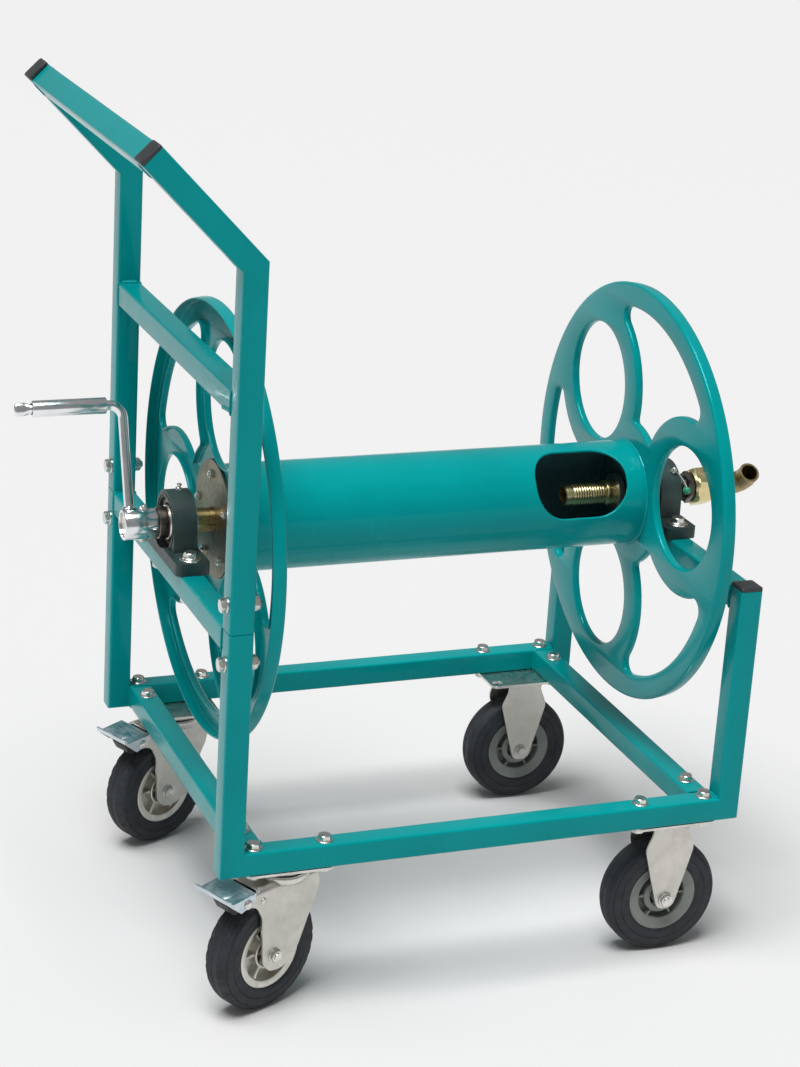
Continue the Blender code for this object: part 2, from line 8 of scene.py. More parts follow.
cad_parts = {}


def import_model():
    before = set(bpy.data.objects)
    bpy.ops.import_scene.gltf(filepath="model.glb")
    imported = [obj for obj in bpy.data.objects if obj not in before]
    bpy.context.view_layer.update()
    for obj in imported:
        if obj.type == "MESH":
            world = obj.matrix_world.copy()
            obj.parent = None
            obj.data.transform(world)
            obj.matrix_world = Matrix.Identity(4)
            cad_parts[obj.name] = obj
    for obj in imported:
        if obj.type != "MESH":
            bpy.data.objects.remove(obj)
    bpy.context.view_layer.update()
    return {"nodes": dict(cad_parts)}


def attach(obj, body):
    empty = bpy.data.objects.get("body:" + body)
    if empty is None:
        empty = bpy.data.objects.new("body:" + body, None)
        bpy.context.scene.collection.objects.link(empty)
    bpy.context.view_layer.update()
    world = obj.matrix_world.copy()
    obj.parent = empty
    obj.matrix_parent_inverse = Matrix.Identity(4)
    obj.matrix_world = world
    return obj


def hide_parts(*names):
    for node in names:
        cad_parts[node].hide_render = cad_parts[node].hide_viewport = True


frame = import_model()

# Driving sizes in millimetres, as in the CAD: X along the reel, Z from the rails' underside.
LENGTH = 578.0
DEPTH = 458.0
TUBE = 25.0
SEAM_Z = 260.5
BEND_Z = 620.9
LEAN = math.radians(45.76)
REACH = 143.9
AXIS_Z = 297.0
MID_Y = DEPTH / 2
DRUM_R = 57.0
LEFT_FACE = 56.0
RIGHT_FACE = 524.5
CRANK_X = -37.0
CRANK_R = 123.0
CRANK_TURN = math.radians(70.0)
ELBOW_X = 668.0
SWIVEL_X = 75.0
FIXED_X = 507.0
CASTER_Y = 33.0
TRAIL = 24.4
TRAIL_TURN = math.radians(204.2)
DROP = 93.0
BOX_MIDDLE_X = 265.4
BOX_MIDDLE_Y = 215.7
GROUND_Z = -157.0
HOLE_REACH = 135.5  # from the reel's axis to the middle of a disc's round hole
BLOCK_BOLT_Y = 52.5
PLATE_BOLT_X = 37.5
PLATE_BOLT_Y = 20.5
AXIS = Vector((0, MID_Y, AXIS_Z))
X_DIR = Vector((1, 0, 0))
Y_DIR = Vector((0, 1, 0))
Z_DIR = Vector((0, 0, 1))


def world(point):
    """Metres in the frame, from the CAD's millimetres."""
    x, y, z = point
    return Vector(((x - BOX_MIDDLE_X) / 1000, (y - BOX_MIDDLE_Y) / 1000, (z - GROUND_Z) / 1000))


# ---------------------------------------------------------------- materials


class Nodes:
    """A small builder for one material's node tree."""

    def __init__(self, name):
        self.material = bpy.data.materials.new(name)
        self.material.use_nodes = True
        self.tree = self.material.node_tree
        self.shader = self.tree.nodes["Principled BSDF"]
        place = self.tree.nodes.new("ShaderNodeTexCoord")
        self.place = place.outputs["Object"]

    def link(self, source, target):
        self.tree.links.new(source, target)

    def put(self, **values):
        for key, value in values.items():
            self.shader.inputs[key.replace("_", " ")].default_value = value

    def scaled(self, scale):
        """The object coordinates stretched by a scale for each direction."""
        node = self.tree.nodes.new("ShaderNodeMapping")
        node.inputs["Scale"].default_value = scale
        self.link(self.place, node.inputs["Vector"])
        return node.outputs["Vector"]

    def noise(self, scale, detail=4.0, rough=0.55, stretch=None):
        node = self.tree.nodes.new("ShaderNodeTexNoise")
        node.inputs["Scale"].default_value = scale
        node.inputs["Detail"].default_value = detail
        node.inputs["Roughness"].default_value = rough
        self.link(self.scaled(stretch) if stretch else self.place, node.inputs["Vector"])
        return node.outputs["Fac"]

    def cells(self, scale, feature="F1"):
        node = self.tree.nodes.new("ShaderNodeTexVoronoi")
        node.feature = feature
        node.inputs["Scale"].default_value = scale
        self.link(self.place, node.inputs["Vector"])
        return node.outputs["Distance"]

    def ramp(self, source, stops):
        node = self.tree.nodes.new("ShaderNodeValToRGB")
        while len(node.color_ramp.elements) < len(stops):
            node.color_ramp.elements.new(0.5)
        for element, (where, colour) in zip(node.color_ramp.elements, stops):
            element.position = where
            element.color = (*colour, 1.0) if len(colour) == 3 else colour
        self.link(source, node.inputs["Fac"])
        return node.outputs["Color"]

    def span(self, source, low, high, start=0.3, stop=0.7):
        node = self.tree.nodes.new("ShaderNodeMapRange")
        node.inputs["From Min"].default_value = start
        node.inputs["From Max"].default_value = stop
        node.inputs["To Min"].default_value = low
        node.inputs["To Max"].default_value = high
        self.link(source, node.inputs["Value"])
        return node.outputs["Result"]

    def bump(self, layers):
        """Bump nodes in a chain, one for each (source, strength, distance)."""
        last = None
        for source, strength, distance in layers:
            node = self.tree.nodes.new("ShaderNodeBump")
            node.inputs["Strength"].default_value = strength
            node.inputs["Distance"].default_value = distance
            self.link(source, node.inputs["Height"])
            if last:
                self.link(last, node.inputs["Normal"])
            last = node.outputs["Normal"]
        self.link(last, self.shader.inputs["Normal"])


def tint(colour, factor):
    """The colour made lighter or darker."""
    return tuple(min(1.0, c * factor) for c in colour)


def paint(name, colour):
    """Glossy stove enamel on steel, with a faint orange peel and drifts of tone."""
    n = Nodes(name)
    drift = n.noise(9.0, 3.0)
    n.link(
        n.ramp(drift, [(0.3, tint(colour, 0.93)), (0.7, tint(colour, 1.07))]),
        n.shader.inputs["Base Color"],
    )
    n.link(n.span(n.noise(30.0, 3.0), 0.2, 0.28), n.shader.inputs["Roughness"])
    n.put(Metallic=0.0, IOR=1.4, Coat_Weight=0.12, Coat_Roughness=0.06)
    n.shader.inputs["Specular Tint"].default_value = (0.06, 0.85, 1.0, 1.0)
    n.bump([(n.noise(120.0, 2.0), 0.07, 0.0008), (n.noise(900.0, 2.0), 0.03, 0.0002)])
    return n.material


def metal(name, colour, rough, dark=0.8, grain=70.0, stretch=None, bump=0.05):
    """Bare or plated metal with cloudy tone and fine working marks."""
    n = Nodes(name)
    cloud = n.noise(grain, 5.0, 0.6)
    n.link(
        n.ramp(cloud, [(0.32, tint(colour, dark)), (0.68, tint(colour, 1.05))]),
        n.shader.inputs["Base Color"],
    )
    marks = n.noise(grain * 3, 4.0, 0.6, stretch)
    n.link(n.span(marks, rough * 0.75, rough * 1.3), n.shader.inputs["Roughness"])
    n.put(Metallic=1.0)
    n.bump([(marks, bump, 0.0004), (n.noise(1100.0, 2.0), bump, 0.0001)])
    return n.material


def cast(name, colour):
    """Painted iron casting with a sandy skin."""
    n = Nodes(name)
    n.link(
        n.ramp(n.noise(45.0), [(0.3, tint(colour, 0.7)), (0.72, tint(colour, 1.35))]),
        n.shader.inputs["Base Color"],
    )
    n.link(n.span(n.noise(120.0), 0.42, 0.62), n.shader.inputs["Roughness"])
    n.put(Metallic=0.1, Coat_Weight=0.15, Coat_Roughness=0.3)
    n.bump([(n.noise(420.0, 6.0, 0.65), 0.35, 0.0006), (n.cells(260.0), 0.12, 0.0004)])
    return n.material


def rubber(name, colour, rough=0.62):
    """Moulded rubber, dusty in places, with a fine grain."""
    n = Nodes(name)
    dust = n.noise(38.0, 6.0, 0.7)
    n.link(
        n.ramp(dust, [(0.35, colour), (0.8, tint(colour, 2.1))]),
        n.shader.inputs["Base Color"],
    )
    n.link(n.span(n.noise(90.0), rough - 0.1, rough + 0.12), n.shader.inputs["Roughness"])
    n.put(Metallic=0.0, IOR=1.5)
    n.bump([(n.noise(700.0, 4.0), 0.18, 0.0003), (n.noise(60.0, 3.0), 0.1, 0.0006)])
    return n.material


def plastic(name, colour, rough=0.42):
    """Moulded plastic with a light texture."""
    n = Nodes(name)
    n.link(
        n.ramp(n.noise(50.0), [(0.3, tint(colour, 0.88)), (0.7, tint(colour, 1.12))]),
        n.shader.inputs["Base Color"],
    )
    n.link(n.span(n.noise(200.0), rough - 0.06, rough + 0.1), n.shader.inputs["Roughness"])
    n.put(Metallic=0.0, IOR=1.48)
    n.bump([(n.cells(1300.0), 0.08, 0.0002), (n.noise(150.0), 0.05, 0.0005)])
    return n.material


LONG_X = (0.04, 1.0, 1.0)
TEAL = (0.0, 0.262, 0.268)
FINISH = {
    "teal_paint": (paint("teal_enamel", TEAL), "teal_paint"),
    "weld_paint": (paint("painted_weld", tint(TEAL, 0.95)), "teal_paint"),
    # Dark colour for the drum's inside, on its lining and end plates: painted shade over the
    # teal paint.
    "painted_shade_inside": (rubber("painted_shade_drum_inside", (0.03, 0.09, 0.098), 0.6), "teal_paint"),
    "cap": (plastic("black_cap", (0.026, 0.03, 0.033), 0.34), "black_plastic"),
    "zinc": (metal("bright_zinc", (0.72, 0.71, 0.67), 0.32, 0.82, 60.0), "zinc_steel"),
    "fork_zinc": (metal("pressed_zinc", (0.66, 0.64, 0.59), 0.42, 0.86, 34.0), "zinc_steel"),
    # Zinc for the brake pedals, with a blue tint that is a painted sheen of reflected light.
    "zinc_painted_blue_sheen": (metal("zinc_painted_blue_sheen", (0.68, 0.76, 0.81), 0.36, 0.72, 30.0), "zinc_steel"),
    "bolt": (
        metal("bolt_zinc", (0.80, 0.79, 0.75), 0.30, 0.75, 120.0, None, 0.015), "zinc_steel"
    ),
    "olive": (metal("olive_passivate", (0.25, 0.24, 0.17), 0.42, 0.74, 50.0), "olive_zinc"),
    "yellow": (
        metal("yellow_passivate", (0.56, 0.42, 0.20), 0.30, 0.72, 60.0, LONG_X, 0.1),
        "yellow_zinc",
    ),
    "chrome": (
        metal("polished_chrome", (0.86, 0.87, 0.88), 0.17, 0.93, 40.0, None, 0.015),
        "chrome"
    ),
    "cast": (cast("green_black_casting", (0.020, 0.045, 0.042)), "cast_iron"),
    "race": (metal("ground_race", (0.24, 0.20, 0.17), 0.3, 0.75, 90.0), "bearing_steel"),
    "seal": (rubber("bearing_seal", (0.035, 0.022, 0.016), 0.5), "bearing_steel"),
    "brass": (
        metal("machined_brass", (0.80, 0.68, 0.36), 0.30, 0.82, 70.0, None, 0.015), "brass"
    ),
    "old_brass": (metal("dull_brass", (0.42, 0.33, 0.17), 0.36, 0.7, 60.0), "brass"),
    "dark_steel": (metal("dark_fitting", (0.20, 0.18, 0.16), 0.34, 0.6, 80.0), "zinc_steel"),
    "tyre": (rubber("tyre_tread", (0.011, 0.014, 0.018)), "tyre_rubber"),
    "shoe": (rubber("brake_rubber", (0.006, 0.006, 0.007), 0.5), "black_plastic"),
    "pale_hub": (metal("cast_aluminium", (0.74, 0.72, 0.66), 0.42, 0.85, 80.0), "pale_hub"),
    "grey_hub": (plastic("grey_nylon", (0.20, 0.215, 0.20), 0.42), "grey_hub"),
    "green_cap": (plastic("green_nipple_cap", (0.02, 0.30, 0.16), 0.35), "black_plastic"),
    "strap": (plastic("pale_strap", (0.72, 0.78, 0.74), 0.35), "black_plastic"),
}

# ---------------------------------------------------------------- shapes


def turn_about(axis):
    """Two directions across an axis, the first as near to up as it can be."""
    axis = Vector(axis).normalized()
    across = Z_DIR if abs(axis.z) < 0.9 else Y_DIR
    across = (across - axis * across.dot(axis)).normalized()
    return across, axis.cross(across)


def sew(mesh):
    """Merges points that meet, and turns the faces outwards."""
    made = bmesh.new()
    made.from_mesh(mesh)
    bmesh.ops.remove_doubles(made, verts=made.verts, dist=1e-6)
    bmesh.ops.recalc_face_normals(made, faces=made.faces)
    made.to_mesh(mesh)
    made.free()


class Shape:
    """Closed shells in millimetres, gathered into one piece."""

    def __init__(self):
        self.points = []
        self.faces = []
        self.flat = []

    def rings(self, rings, closed=False, caps=True):
        """Quads between rings of equal length, in a loop or with capped ends."""
        base = len(self.points)
        count = len(rings[0])
        for ring in rings:
            self.points += [Vector(p) for p in ring]
        last = len(rings) if closed else len(rings) - 1
        for i in range(last):
            a = base + i * count
            b = base + ((i + 1) % len(rings)) * count
            for j in range(count):
                k = (j + 1) % count
                self.faces.append((a + j, a + k, b + k, b + j))
        if not closed and caps:
            end = len(self.points)
            self.flat.append(len(self.faces))
            self.faces.append(tuple(range(base + count - 1, base - 1, -1)))
            self.flat.append(len(self.faces))
            self.faces.append(tuple(range(end - count, end)))
        return self

    def lathe(self, profile, start, axis, count=64, wave=None):
        """A closed profile of (radius, distance) turned about an axis."""
        axis = Vector(axis).normalized()
        across, up = turn_about(axis)
        rings = []
        for i in range(count):
            turn = 2 * math.pi * (i + 0.5) / count
            out = across * math.cos(turn) + up * math.sin(turn)
            ring = []
            for j, (r, d) in enumerate(profile):
                if wave:
                    r, d = wave(i, j, r, d)
                ring.append(Vector(start) + out * r + axis * d)
            rings.append(ring)
        return self.rings(rings, True)

    def rod(self, steps, start, axis):
        """A solid of (section, distance) steps along an axis."""
        axis = Vector(axis).normalized()
        across, up = turn_about(axis)
        rings = [
            [Vector(start) + axis * d + across * u + up * v for u, v in section]
            for section, d in steps
        ]
        return self.rings(rings)

    def sweep(self, path, side, outer, inner=None):
        """A section swept along a path, solid or hollow with open ends."""
        rings = path_rings(path, side, outer)
        if inner:
            return self.rings(rings + path_rings(path, side, inner)[::-1], True)
        return self.rings(rings)

    def slab(self, outline, holes, low, high, start, first, second, third):
        """A plate with holes, drawn in the first two directions."""
        loops = [outline] + list(holes)
        flat = [[Vector((u, v, 0)) for u, v in loop] for loop in loops]
        count = sum(len(loop) for loop in loops)
        base = len(self.points)
        start, first, second, third = [Vector(v) for v in (start, first, second, third)]
        for level in (low, high):
            for loop in loops:
                self.points += [
                    start + first * u + second * v + third * level for u, v in loop
                ]
        for a, b, c in tessellate_polygon(flat):
            for shift in (base, base + count):
                self.flat.append(len(self.faces))
                self.faces.append((a + shift, b + shift, c + shift))
        for loop in loops:
            size = len(loop)
            for j in range(size):
                k = (j + 1) % size
                self.faces.append(
                    (base + j, base + k, base + k + count, base + j + count)
                )
            base += size
        return self

    def done(self, name, body, finish, nodes=(), bevel=0.0, angle=35.0, steps=2):
        """The piece as an object riding on a body."""
        mesh = bpy.data.meshes.new(name)
        mesh.from_pydata([world(p) for p in self.points], [], self.faces)
        mesh.polygons.foreach_set("use_smooth", [True] * len(self.faces))
        for i in self.flat:
            mesh.polygons[i].use_smooth = bool(bevel)
        sew(mesh)
        if not bevel:
            mesh.set_sharp_from_angle(angle=math.radians(angle))
        material, slot = FINISH[finish]
        mesh.materials.append(material)
        obj = bpy.data.objects.new(name, mesh)
        bpy.context.scene.collection.objects.link(obj)
        if bevel:
            round_edges(obj, bevel, steps)
        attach(obj, body)
        if nodes:
            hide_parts(*nodes)
        return obj


def round_edges(obj, width, steps=2):
    """Rounds the sharp edges of a piece, keeping its flats flat."""
    edge = obj.modifiers.new("edges", "BEVEL")
    edge.width = width / 1000
    edge.segments = steps
    edge.limit_method = "ANGLE"
    edge.angle_limit = math.radians(32)
    edge.harden_normals = True


def join(obj, shape, operation="UNION"):
    """Applies an exact Boolean of the piece with another shape."""
    mesh = bpy.data.meshes.new("operand")
    mesh.from_pydata([world(p) for p in shape.points], [], shape.faces)
    sew(mesh)
    other = bpy.data.objects.new("operand", mesh)
    bpy.context.scene.collection.objects.link(other)
    step = obj.modifiers.new("join", "BOOLEAN")
    step.operation = operation
    step.solver = "EXACT"
    step.object = other
    bpy.context.view_layer.update()
    graph = bpy.context.evaluated_depsgraph_get()
    made = bpy.data.meshes.new_from_object(obj.evaluated_get(graph))
    obj.modifiers.remove(step)
    obj.data = made
    bpy.data.objects.remove(other)


def finish_cut(obj, finish, width, steps=2):
    """Smooths a piece that Booleans made, and rounds its edges."""
    for poly in obj.data.polygons:
        poly.use_smooth = True
    obj.data.set_sharp_from_angle(angle=math.radians(33))
    obj.data.materials.clear()
    obj.data.materials.append(FINISH[finish][0])
    round_edges(obj, width, steps)


def pressed(name, body, hub, along, axle, section, outline, hole=0.0):
    """A channel bent from sheet, cut to a side outline."""
    made = Shape().slab(section, [], -60, 90, hub, axle, Z_DIR, along).done(
        name, body, "fork_zinc"
    )
    join(made, Shape().slab(outline, [], -70, 70, hub, along, Z_DIR, axle), "INTERSECT")
    if hole:
        cutter = Shape().rod([(circle(hole, 24), -30), (circle(hole, 24), 10)], hub, Z_DIR)
        join(made, cutter, "DIFFERENCE")
    finish_cut(made, "fork_zinc", 0.5)
    return made


def smooth_line(points, parts):
    """Points along a smooth curve through the given ones."""
    out = []
    for i in range(len(points) - 1):
        p = [Vector(points[max(0, min(len(points) - 1, i + k))]) for k in (-1, 0, 1, 2)]
        for j in range(parts):
            t = j / parts
            out.append(
                0.5 * ((2 * p[1]) + (p[2] - p[0]) * t
                       + (2 * p[0] - 5 * p[1] + 4 * p[2] - p[3]) * t * t
                       + (3 * p[1] - p[0] - 3 * p[2] + p[3]) * t**3)
            )
    return out + [Vector(points[-1])]


def path_rings(path, side, section):
    """The section at each point of a path, mitred, with its first direction in the
    path's plane. A point may carry a growth of the section as a second value."""
    rings = []
    side = Vector(side).normalized()
    spots = [p if isinstance(p, tuple) and len(p) == 2 else (p, 0.0) for p in path]
    path = [Vector(p) for p, _ in spots]
    for i, here in enumerate(path):
        ahead = path[min(i + 1, len(path) - 1)] - here
        behind = here - path[max(i - 1, 0)]
        ahead = (ahead if i < len(path) - 1 else behind).normalized()
        behind = (behind if i > 0 else ahead).normalized()
        out_a = side.cross(ahead)
        out_b = side.cross(behind)
        out = (out_a + out_b) / (1 + out_a.dot(out_b))
        grow = spots[i][1]
        ring = []
        for u, v in section:
            far = max(abs(u), abs(v))
            ring.append(here + (out * u + side * v) * ((far + grow) / far))
        rings.append(ring)
    return rings


def circle(radius, count=32, squash=1.0):
    """Points round a circle, or an oval when squashed."""
    turns = [2 * math.pi * (i + 0.5) / count for i in range(count)]
    return [(radius * math.cos(t), radius * squash * math.sin(t)) for t in turns]


def rounds(count, *steps):
    """Round sections for a rod, from (radius, distance) steps."""
    return [(circle(r, count), d) for r, d in steps]


def mirrored(half):
    """A profile that ends at its middle, carried on to its other side."""
    return half + [(r, -d) for r, d in half[-2::-1]]


def arc(centre, radius, start, stop, steps):
    """Points along an arc between two angles in degrees."""
    turns = [math.radians(start + (stop - start) * i / steps) for i in range(steps + 1)]
    return [
        (centre[0] + radius * math.cos(t), centre[1] + radius * math.sin(t))
        for t in turns
    ]


def round_box(half_u, half_v, radius, steps=5):
    """A rectangle with round corners."""
    out = []
    for su, sv, start in ((1, 1, 0), (-1, 1, 90), (-1, -1, 180), (1, -1, 270)):
        centre = (su * (half_u - radius), sv * (half_v - radius))
        out += arc(centre, radius, start, start + 90, steps)
    return out


def round_corners(points, radii, steps=6):
    """An outline with each corner rounded by its own radius."""
    out = []
    count = len(points)
    for i, here in enumerate(points):
        radius = radii[i] if isinstance(radii, (list, tuple)) else radii
        here = Vector(here)
        before = (Vector(points[i - 1]) - here).normalized()
        after = (Vector(points[(i + 1) % count]) - here).normalized()
        if radius <= 0:
            out.append(tuple(here))
            continue
        half = math.acos(max(-1, min(1, before.dot(after)))) / 2
        reach = radius / math.tan(half)
        middle = here + (before + after).normalized() * (radius / math.sin(half))
        a = here + before * reach - middle
        b = here + after * reach - middle
        start = math.atan2(a.y, a.x)
        sweep = math.atan2(b.y, b.x) - start
        sweep = (sweep + math.pi) % (2 * math.pi) - math.pi
        for j in range(steps + 1):
            t = start + sweep * j / steps
            out.append((middle.x + radius * math.cos(t), middle.y + radius * math.sin(t)))
    return out


def hexagon(across, trim=1.0, spin=0.0, count=24):
    """A hexagon by its width across flats. Trim pulls its corners in to a circle."""
    out = []
    flat = across / 2
    for i in range(count):
        turn = 2 * math.pi * i / count
        local = (turn + math.pi / 6) % (math.pi / 3) - math.pi / 6
        radius = flat / math.cos(local)
        out.append(
            (
                min(radius, flat * trim) * math.cos(turn + spin),
                min(radius, flat * trim) * math.sin(turn + spin),
            )
        )
    return out


def hex_steps(across, low, high):
    """Steps of a hex head from low to high, chamfered at its outer end."""
    way = 1 if high > low else -1
    size = abs(high - low)
    return [
        (hexagon(across, 1.16), low),
        (hexagon(across, 1.16), low + way * size * 0.72),
        (hexagon(across, 1.07), low + way * size * 0.9),
        (hexagon(across, 0.95), high),
    ]


def bolt(name, spot, axis, body, across=13.0, height=5.6, washer=0.0, thread=0.0,
         reach=0.0):
    """A hex head or nut standing on a face, with a washer, a bolt end, and a shank of
    the given reach behind the face."""
    shape = Shape()
    base = 0.0
    if washer:
        steps = [(circle(washer, 28), 0.05), (circle(washer, 28), 1.1)]
        steps.append((circle(washer - 0.5, 28), 1.6))
        shape.rod(steps, spot, axis)
        base = 1.5
    shape.rod(hex_steps(across, base, base + height), spot, axis)
    top = base + height
    if thread:
        shape.rod(thread_steps(across * 0.3, top - 0.3, top + thread), spot, axis)
    if reach:
        shape.rod(
            [(circle(across * 0.3, 16), -reach), (circle(across * 0.3, 16), 0.2)], spot,
            axis
        )
    return shape.done(name, body, "bolt")


def thread_steps(radius, low, high, pitch=1.25):
    """Steps of a threaded end, as rings of alternating radius."""
    steps = []
    count = max(2, int((high - low) / pitch))
    for i in range(count):
        d = low + (high - low) * i / count
        steps.append((circle(radius * 0.88, 20), d))
        steps.append((circle(radius, 20), d + pitch * 0.45))
    steps.append((circle(radius * 0.8, 20), high))
    return steps


def bent(points, f):
    """A point part of the way along a smooth curve through four points."""
    a, b, c, d = points
    return a * (1 - f) ** 3 + b * 3 * f * (1 - f) ** 2 + c * 3 * f * f * (1 - f) + d * f**3


def smooth_noise(i, seed):
    """A steady wobble between -1 and 1, the same on each run."""
    return math.sin(i * 1.7 + seed * 2.3) * 0.6 + math.sin(i * 0.61 + seed) * 0.4


# ---------------------------------------------------------------- frame

OUTER = round_box(12.5, 12.5, 2.6)
INNER = round_box(11.0, 11.0, 1.4)


def square_tube(name, path, side, body="frame", nodes=()):
    """A painted tube whose ends are slightly eased."""
    path = [Vector(p) for p in path]
    start = (path[1] - path[0]).normalized()
    stop = (path[-2] - path[-1]).normalized()
    eased = [(path[0], -0.45), (path[0] + start * 0.5, 0.0)]
    eased += [(p, 0.0) for p in path[1:-1]]
    eased += [(path[-1] + stop * 0.5, 0.0), (path[-1], -0.45)]
    rings = path_rings(eased, side, OUTER)
    inside = path_rings([(p, 0.0) for p in path], side, INNER)
    shape = Shape().rings(rings + inside[::-1], True)
    return shape.done(name, body, "teal_paint", nodes or (name,), angle=30)


def weld_ring(name, spot, axis, seed, radius=1.5, half=12.6):
    """A rippled bead round the end of a square tube."""
    axis = Vector(axis).normalized()
    across, up = turn_about(axis)
    outline = round_box(half, half, 2.8, 4)
    loop = []
    for i, here in enumerate(outline):
        there = outline[(i + 1) % len(outline)]
        gap = math.dist(here, there)
        parts = max(1, int(gap / 1.3))
        for k in range(parts):
            f = k / parts
            loop.append(
                (here[0] + (there[0] - here[0]) * f, here[1] + (there[1] - here[1]) * f)
            )
    rings = []
    for i, (u, v) in enumerate(loop):
        spread = radius * (1 + 0.16 * math.sin(i * 1.9 + seed) + 0.12 * smooth_noise(i, seed))
        middle = Vector(spot) + across * u + up * v
        out = (across * u + up * v).normalized()
        rings.append(
            [
                middle
                + out * spread * math.cos(t)
                + axis * spread * math.sin(t)
                for t in [2 * math.pi * k / 8 for k in range(8)]
            ]
        )
    return Shape().rings(rings, True).done(name, "frame", "weld_paint", angle=80)


def weld_patch(name, a, b, lift, seed, radius=2.6):
    """A short rippled fillet bead between two points."""
    a, b, lift = Vector(a), Vector(b), Vector(lift).normalized()
    along = (b - a).normalized()
    side = along.cross(lift)
    count = max(6, int((b - a).length / 0.8))
    rings = []
    for i in range(count + 1):
        f = i / count
        taper = min(1.0, 5.0 * min(f, 1 - f) + 0.25)
        spread = radius * taper * (1 + 0.14 * math.sin(i * 2.1 + seed))
        here = a + (b - a) * f
        rings.append(
            [
                here + lift * spread * 0.7 * math.cos(t) + side * spread * math.sin(t)
                for t in [2 * math.pi * k / 10 for k in range(10)]
            ]
        )
    return Shape().rings(rings).done(name, "frame", "weld_paint", angle=80)


def make_frame():
    """Tubes, welds, caps, and the bolts at the post seams."""
    low = TUBE / 2
    lean = Vector((-math.cos(LEAN), 0, math.sin(LEAN)))
    for place, y in (("front", low), ("back", DEPTH - low)):
        square_tube(
            f"frame_tube_{place}",
            [
                (low, y, SEAM_Z), (low, y, low), (LENGTH - low, y, low),
                (LENGTH - low, y, SEAM_Z)
            ],
            Y_DIR,
            nodes=(f"frame_{place}",),
        )
        bend = Vector((low, y, BEND_Z))
        square_tube(
            f"upright_{place}",
            [(low, y, SEAM_Z + 0.3), bend, bend + lean * REACH],
            Y_DIR,
            nodes=(f"handle_post_{place}",),
        )
    ends = (TUBE + 0.3, DEPTH - TUBE - 0.3)
    grip = Vector((low, 0, BEND_Z)) + lean * (REACH - low)
    bars = (
        ("low_rail_left", "cross_rail_left", TUBE * 1.5, low, X_DIR),
        ("low_rail_right", "cross_rail_right", LENGTH - TUBE * 1.5, low, X_DIR),
        ("bearing_rail_left", "bearing_bar_left", low, SEAM_Z - low, X_DIR),
        ("bearing_rail_right", "bearing_bar_right", LENGTH - low, SEAM_Z - low, X_DIR),
        ("brace_bar", "handle_bar", low, 486.0, X_DIR),
        ("grip_bar", "push_bar", grip.x, grip.z, lean),
    )
    for i, (name, node, x, z, side) in enumerate(bars):
        square_tube(name, [(x, y, z) for y in ends], side, nodes=(node,))
        for j, y in enumerate((TUBE + 0.4, DEPTH - TUBE - 0.4)):
            if name == "grip_bar":
                across = side.cross(Y_DIR)
                for k, way in enumerate((1, -1)):
                    a = Vector((x, y, z)) + side * 9 + across * 12.6 * way
                    b = Vector((x, y, z)) - side * 9 + across * 12.6 * way
                    weld_patch(f"weld_{name}_{j}_{k}", a, b, across * way, i + j, 1.5)
            else:
                weld_ring(f"weld_{name}_{j}", (x, y, z), Y_DIR, i * 3.1 + j, 1.25)
    weld_patch("weld_brace_top", (3, 432, 499), (22, 432, 499), (0, -0.6, 1), 1.0, 3.4)
    weld_patch("weld_brace_under", (3, 26, 472.6), (22, 26, 472.6), (0, 0.7, -1), 2.0, 3.6)
    weld_patch("weld_brace_side", (-0.2, 52, 474.5), (-0.2, 24, 478.5), (-1, 0, 0), 3.0, 1.7)
    for place, y, way in (("front", 25.2, 1), ("back", DEPTH - 25.2, -1)):
        for side, x in (("left", 3), ("right", LENGTH - 22)):
            weld_patch(
                f"weld_{side}_{place}_under",
                (x, y, 235), (x + 19, y, 235), (0, 0.7 * way, -1), x + y, 2.2,
            )
        for side, x, dx in (("left", 25.3, 1), ("right", LENGTH - 25.3, -1)):
            inner = low - 9, low + 9
            weld_patch(
                f"weld_corner_{side}_{place}",
                (x, y - way * 12.7 + inner[0] - low, 25.3),
                (x, y - way * 12.7 + inner[1] - low, 25.3),
                (dx, 0, 1), x + y * 0.3, 1.9,
            )
    for place, y in (("front", low), ("back", DEPTH - low)):
        cap("cap_top_" + place, Vector((low, y, BEND_Z)) + lean * REACH, lean,
            f"cap_handle_{place}")
        cap("cap_end_" + place, Vector((LENGTH - low, y, SEAM_Z)), Z_DIR, f"cap_post_{place}")
        frame["nodes"][f"post_sleeve_{place}"].data.materials.clear()
        frame["nodes"][f"post_sleeve_{place}"].data.materials.append(FINISH["zinc"][0])
        for k, z in enumerate((288.0, 227.0)):
            bolt(f"seam_bolt_{place}_{k}", (-0.05, y, z), -X_DIR, "frame", 13, 5.5, 8.0)
            bolt(f"seam_nut_{place}_{k}", (25.05, y, z), X_DIR, "frame", 13, 6.0, 8.0, 2.6)


def cap(name, spot, axis, node):
    """A moulded end cap with a shallow crown and a plug inside the tube."""
    shape = Shape()
    steps = [
        (round_box(10.4, 10.4, 1.5), -9.0),
        (round_box(10.6, 10.6, 1.5), 0.3),
        (round_box(12.4, 12.4, 2.4), 0.35),
        (round_box(12.5, 12.5, 2.6), 0.8),
        (round_box(12.5, 12.5, 2.6), 2.9),
        (round_box(12.2, 12.2, 2.5), 3.6),
        (round_box(11.4, 11.4, 2.2), 4.1),
        (round_box(9.0, 9.0, 2.0), 4.3),
    ]
    axis = Vector(axis)
    across = axis.cross(Y_DIR).normalized()
    rings = [
        [Vector(spot) + axis * d + across * u + Y_DIR * v for u, v in section]
        for section, d in steps
    ]
    shape.rings(rings)
    return shape.done(name, "frame", "cap", (node,), angle=50)


# ---------------------------------------------------------------- reel


def polar(radius, degrees):
    """The point at a radius and an angle."""
    turn = math.radians(degrees)
    return (radius * math.cos(turn), radius * math.sin(turn))


def between(centre, point):
    """The angle in degrees of a point seen from a centre."""
    return math.degrees(math.atan2(point[1] - centre[1], point[0] - centre[0]))


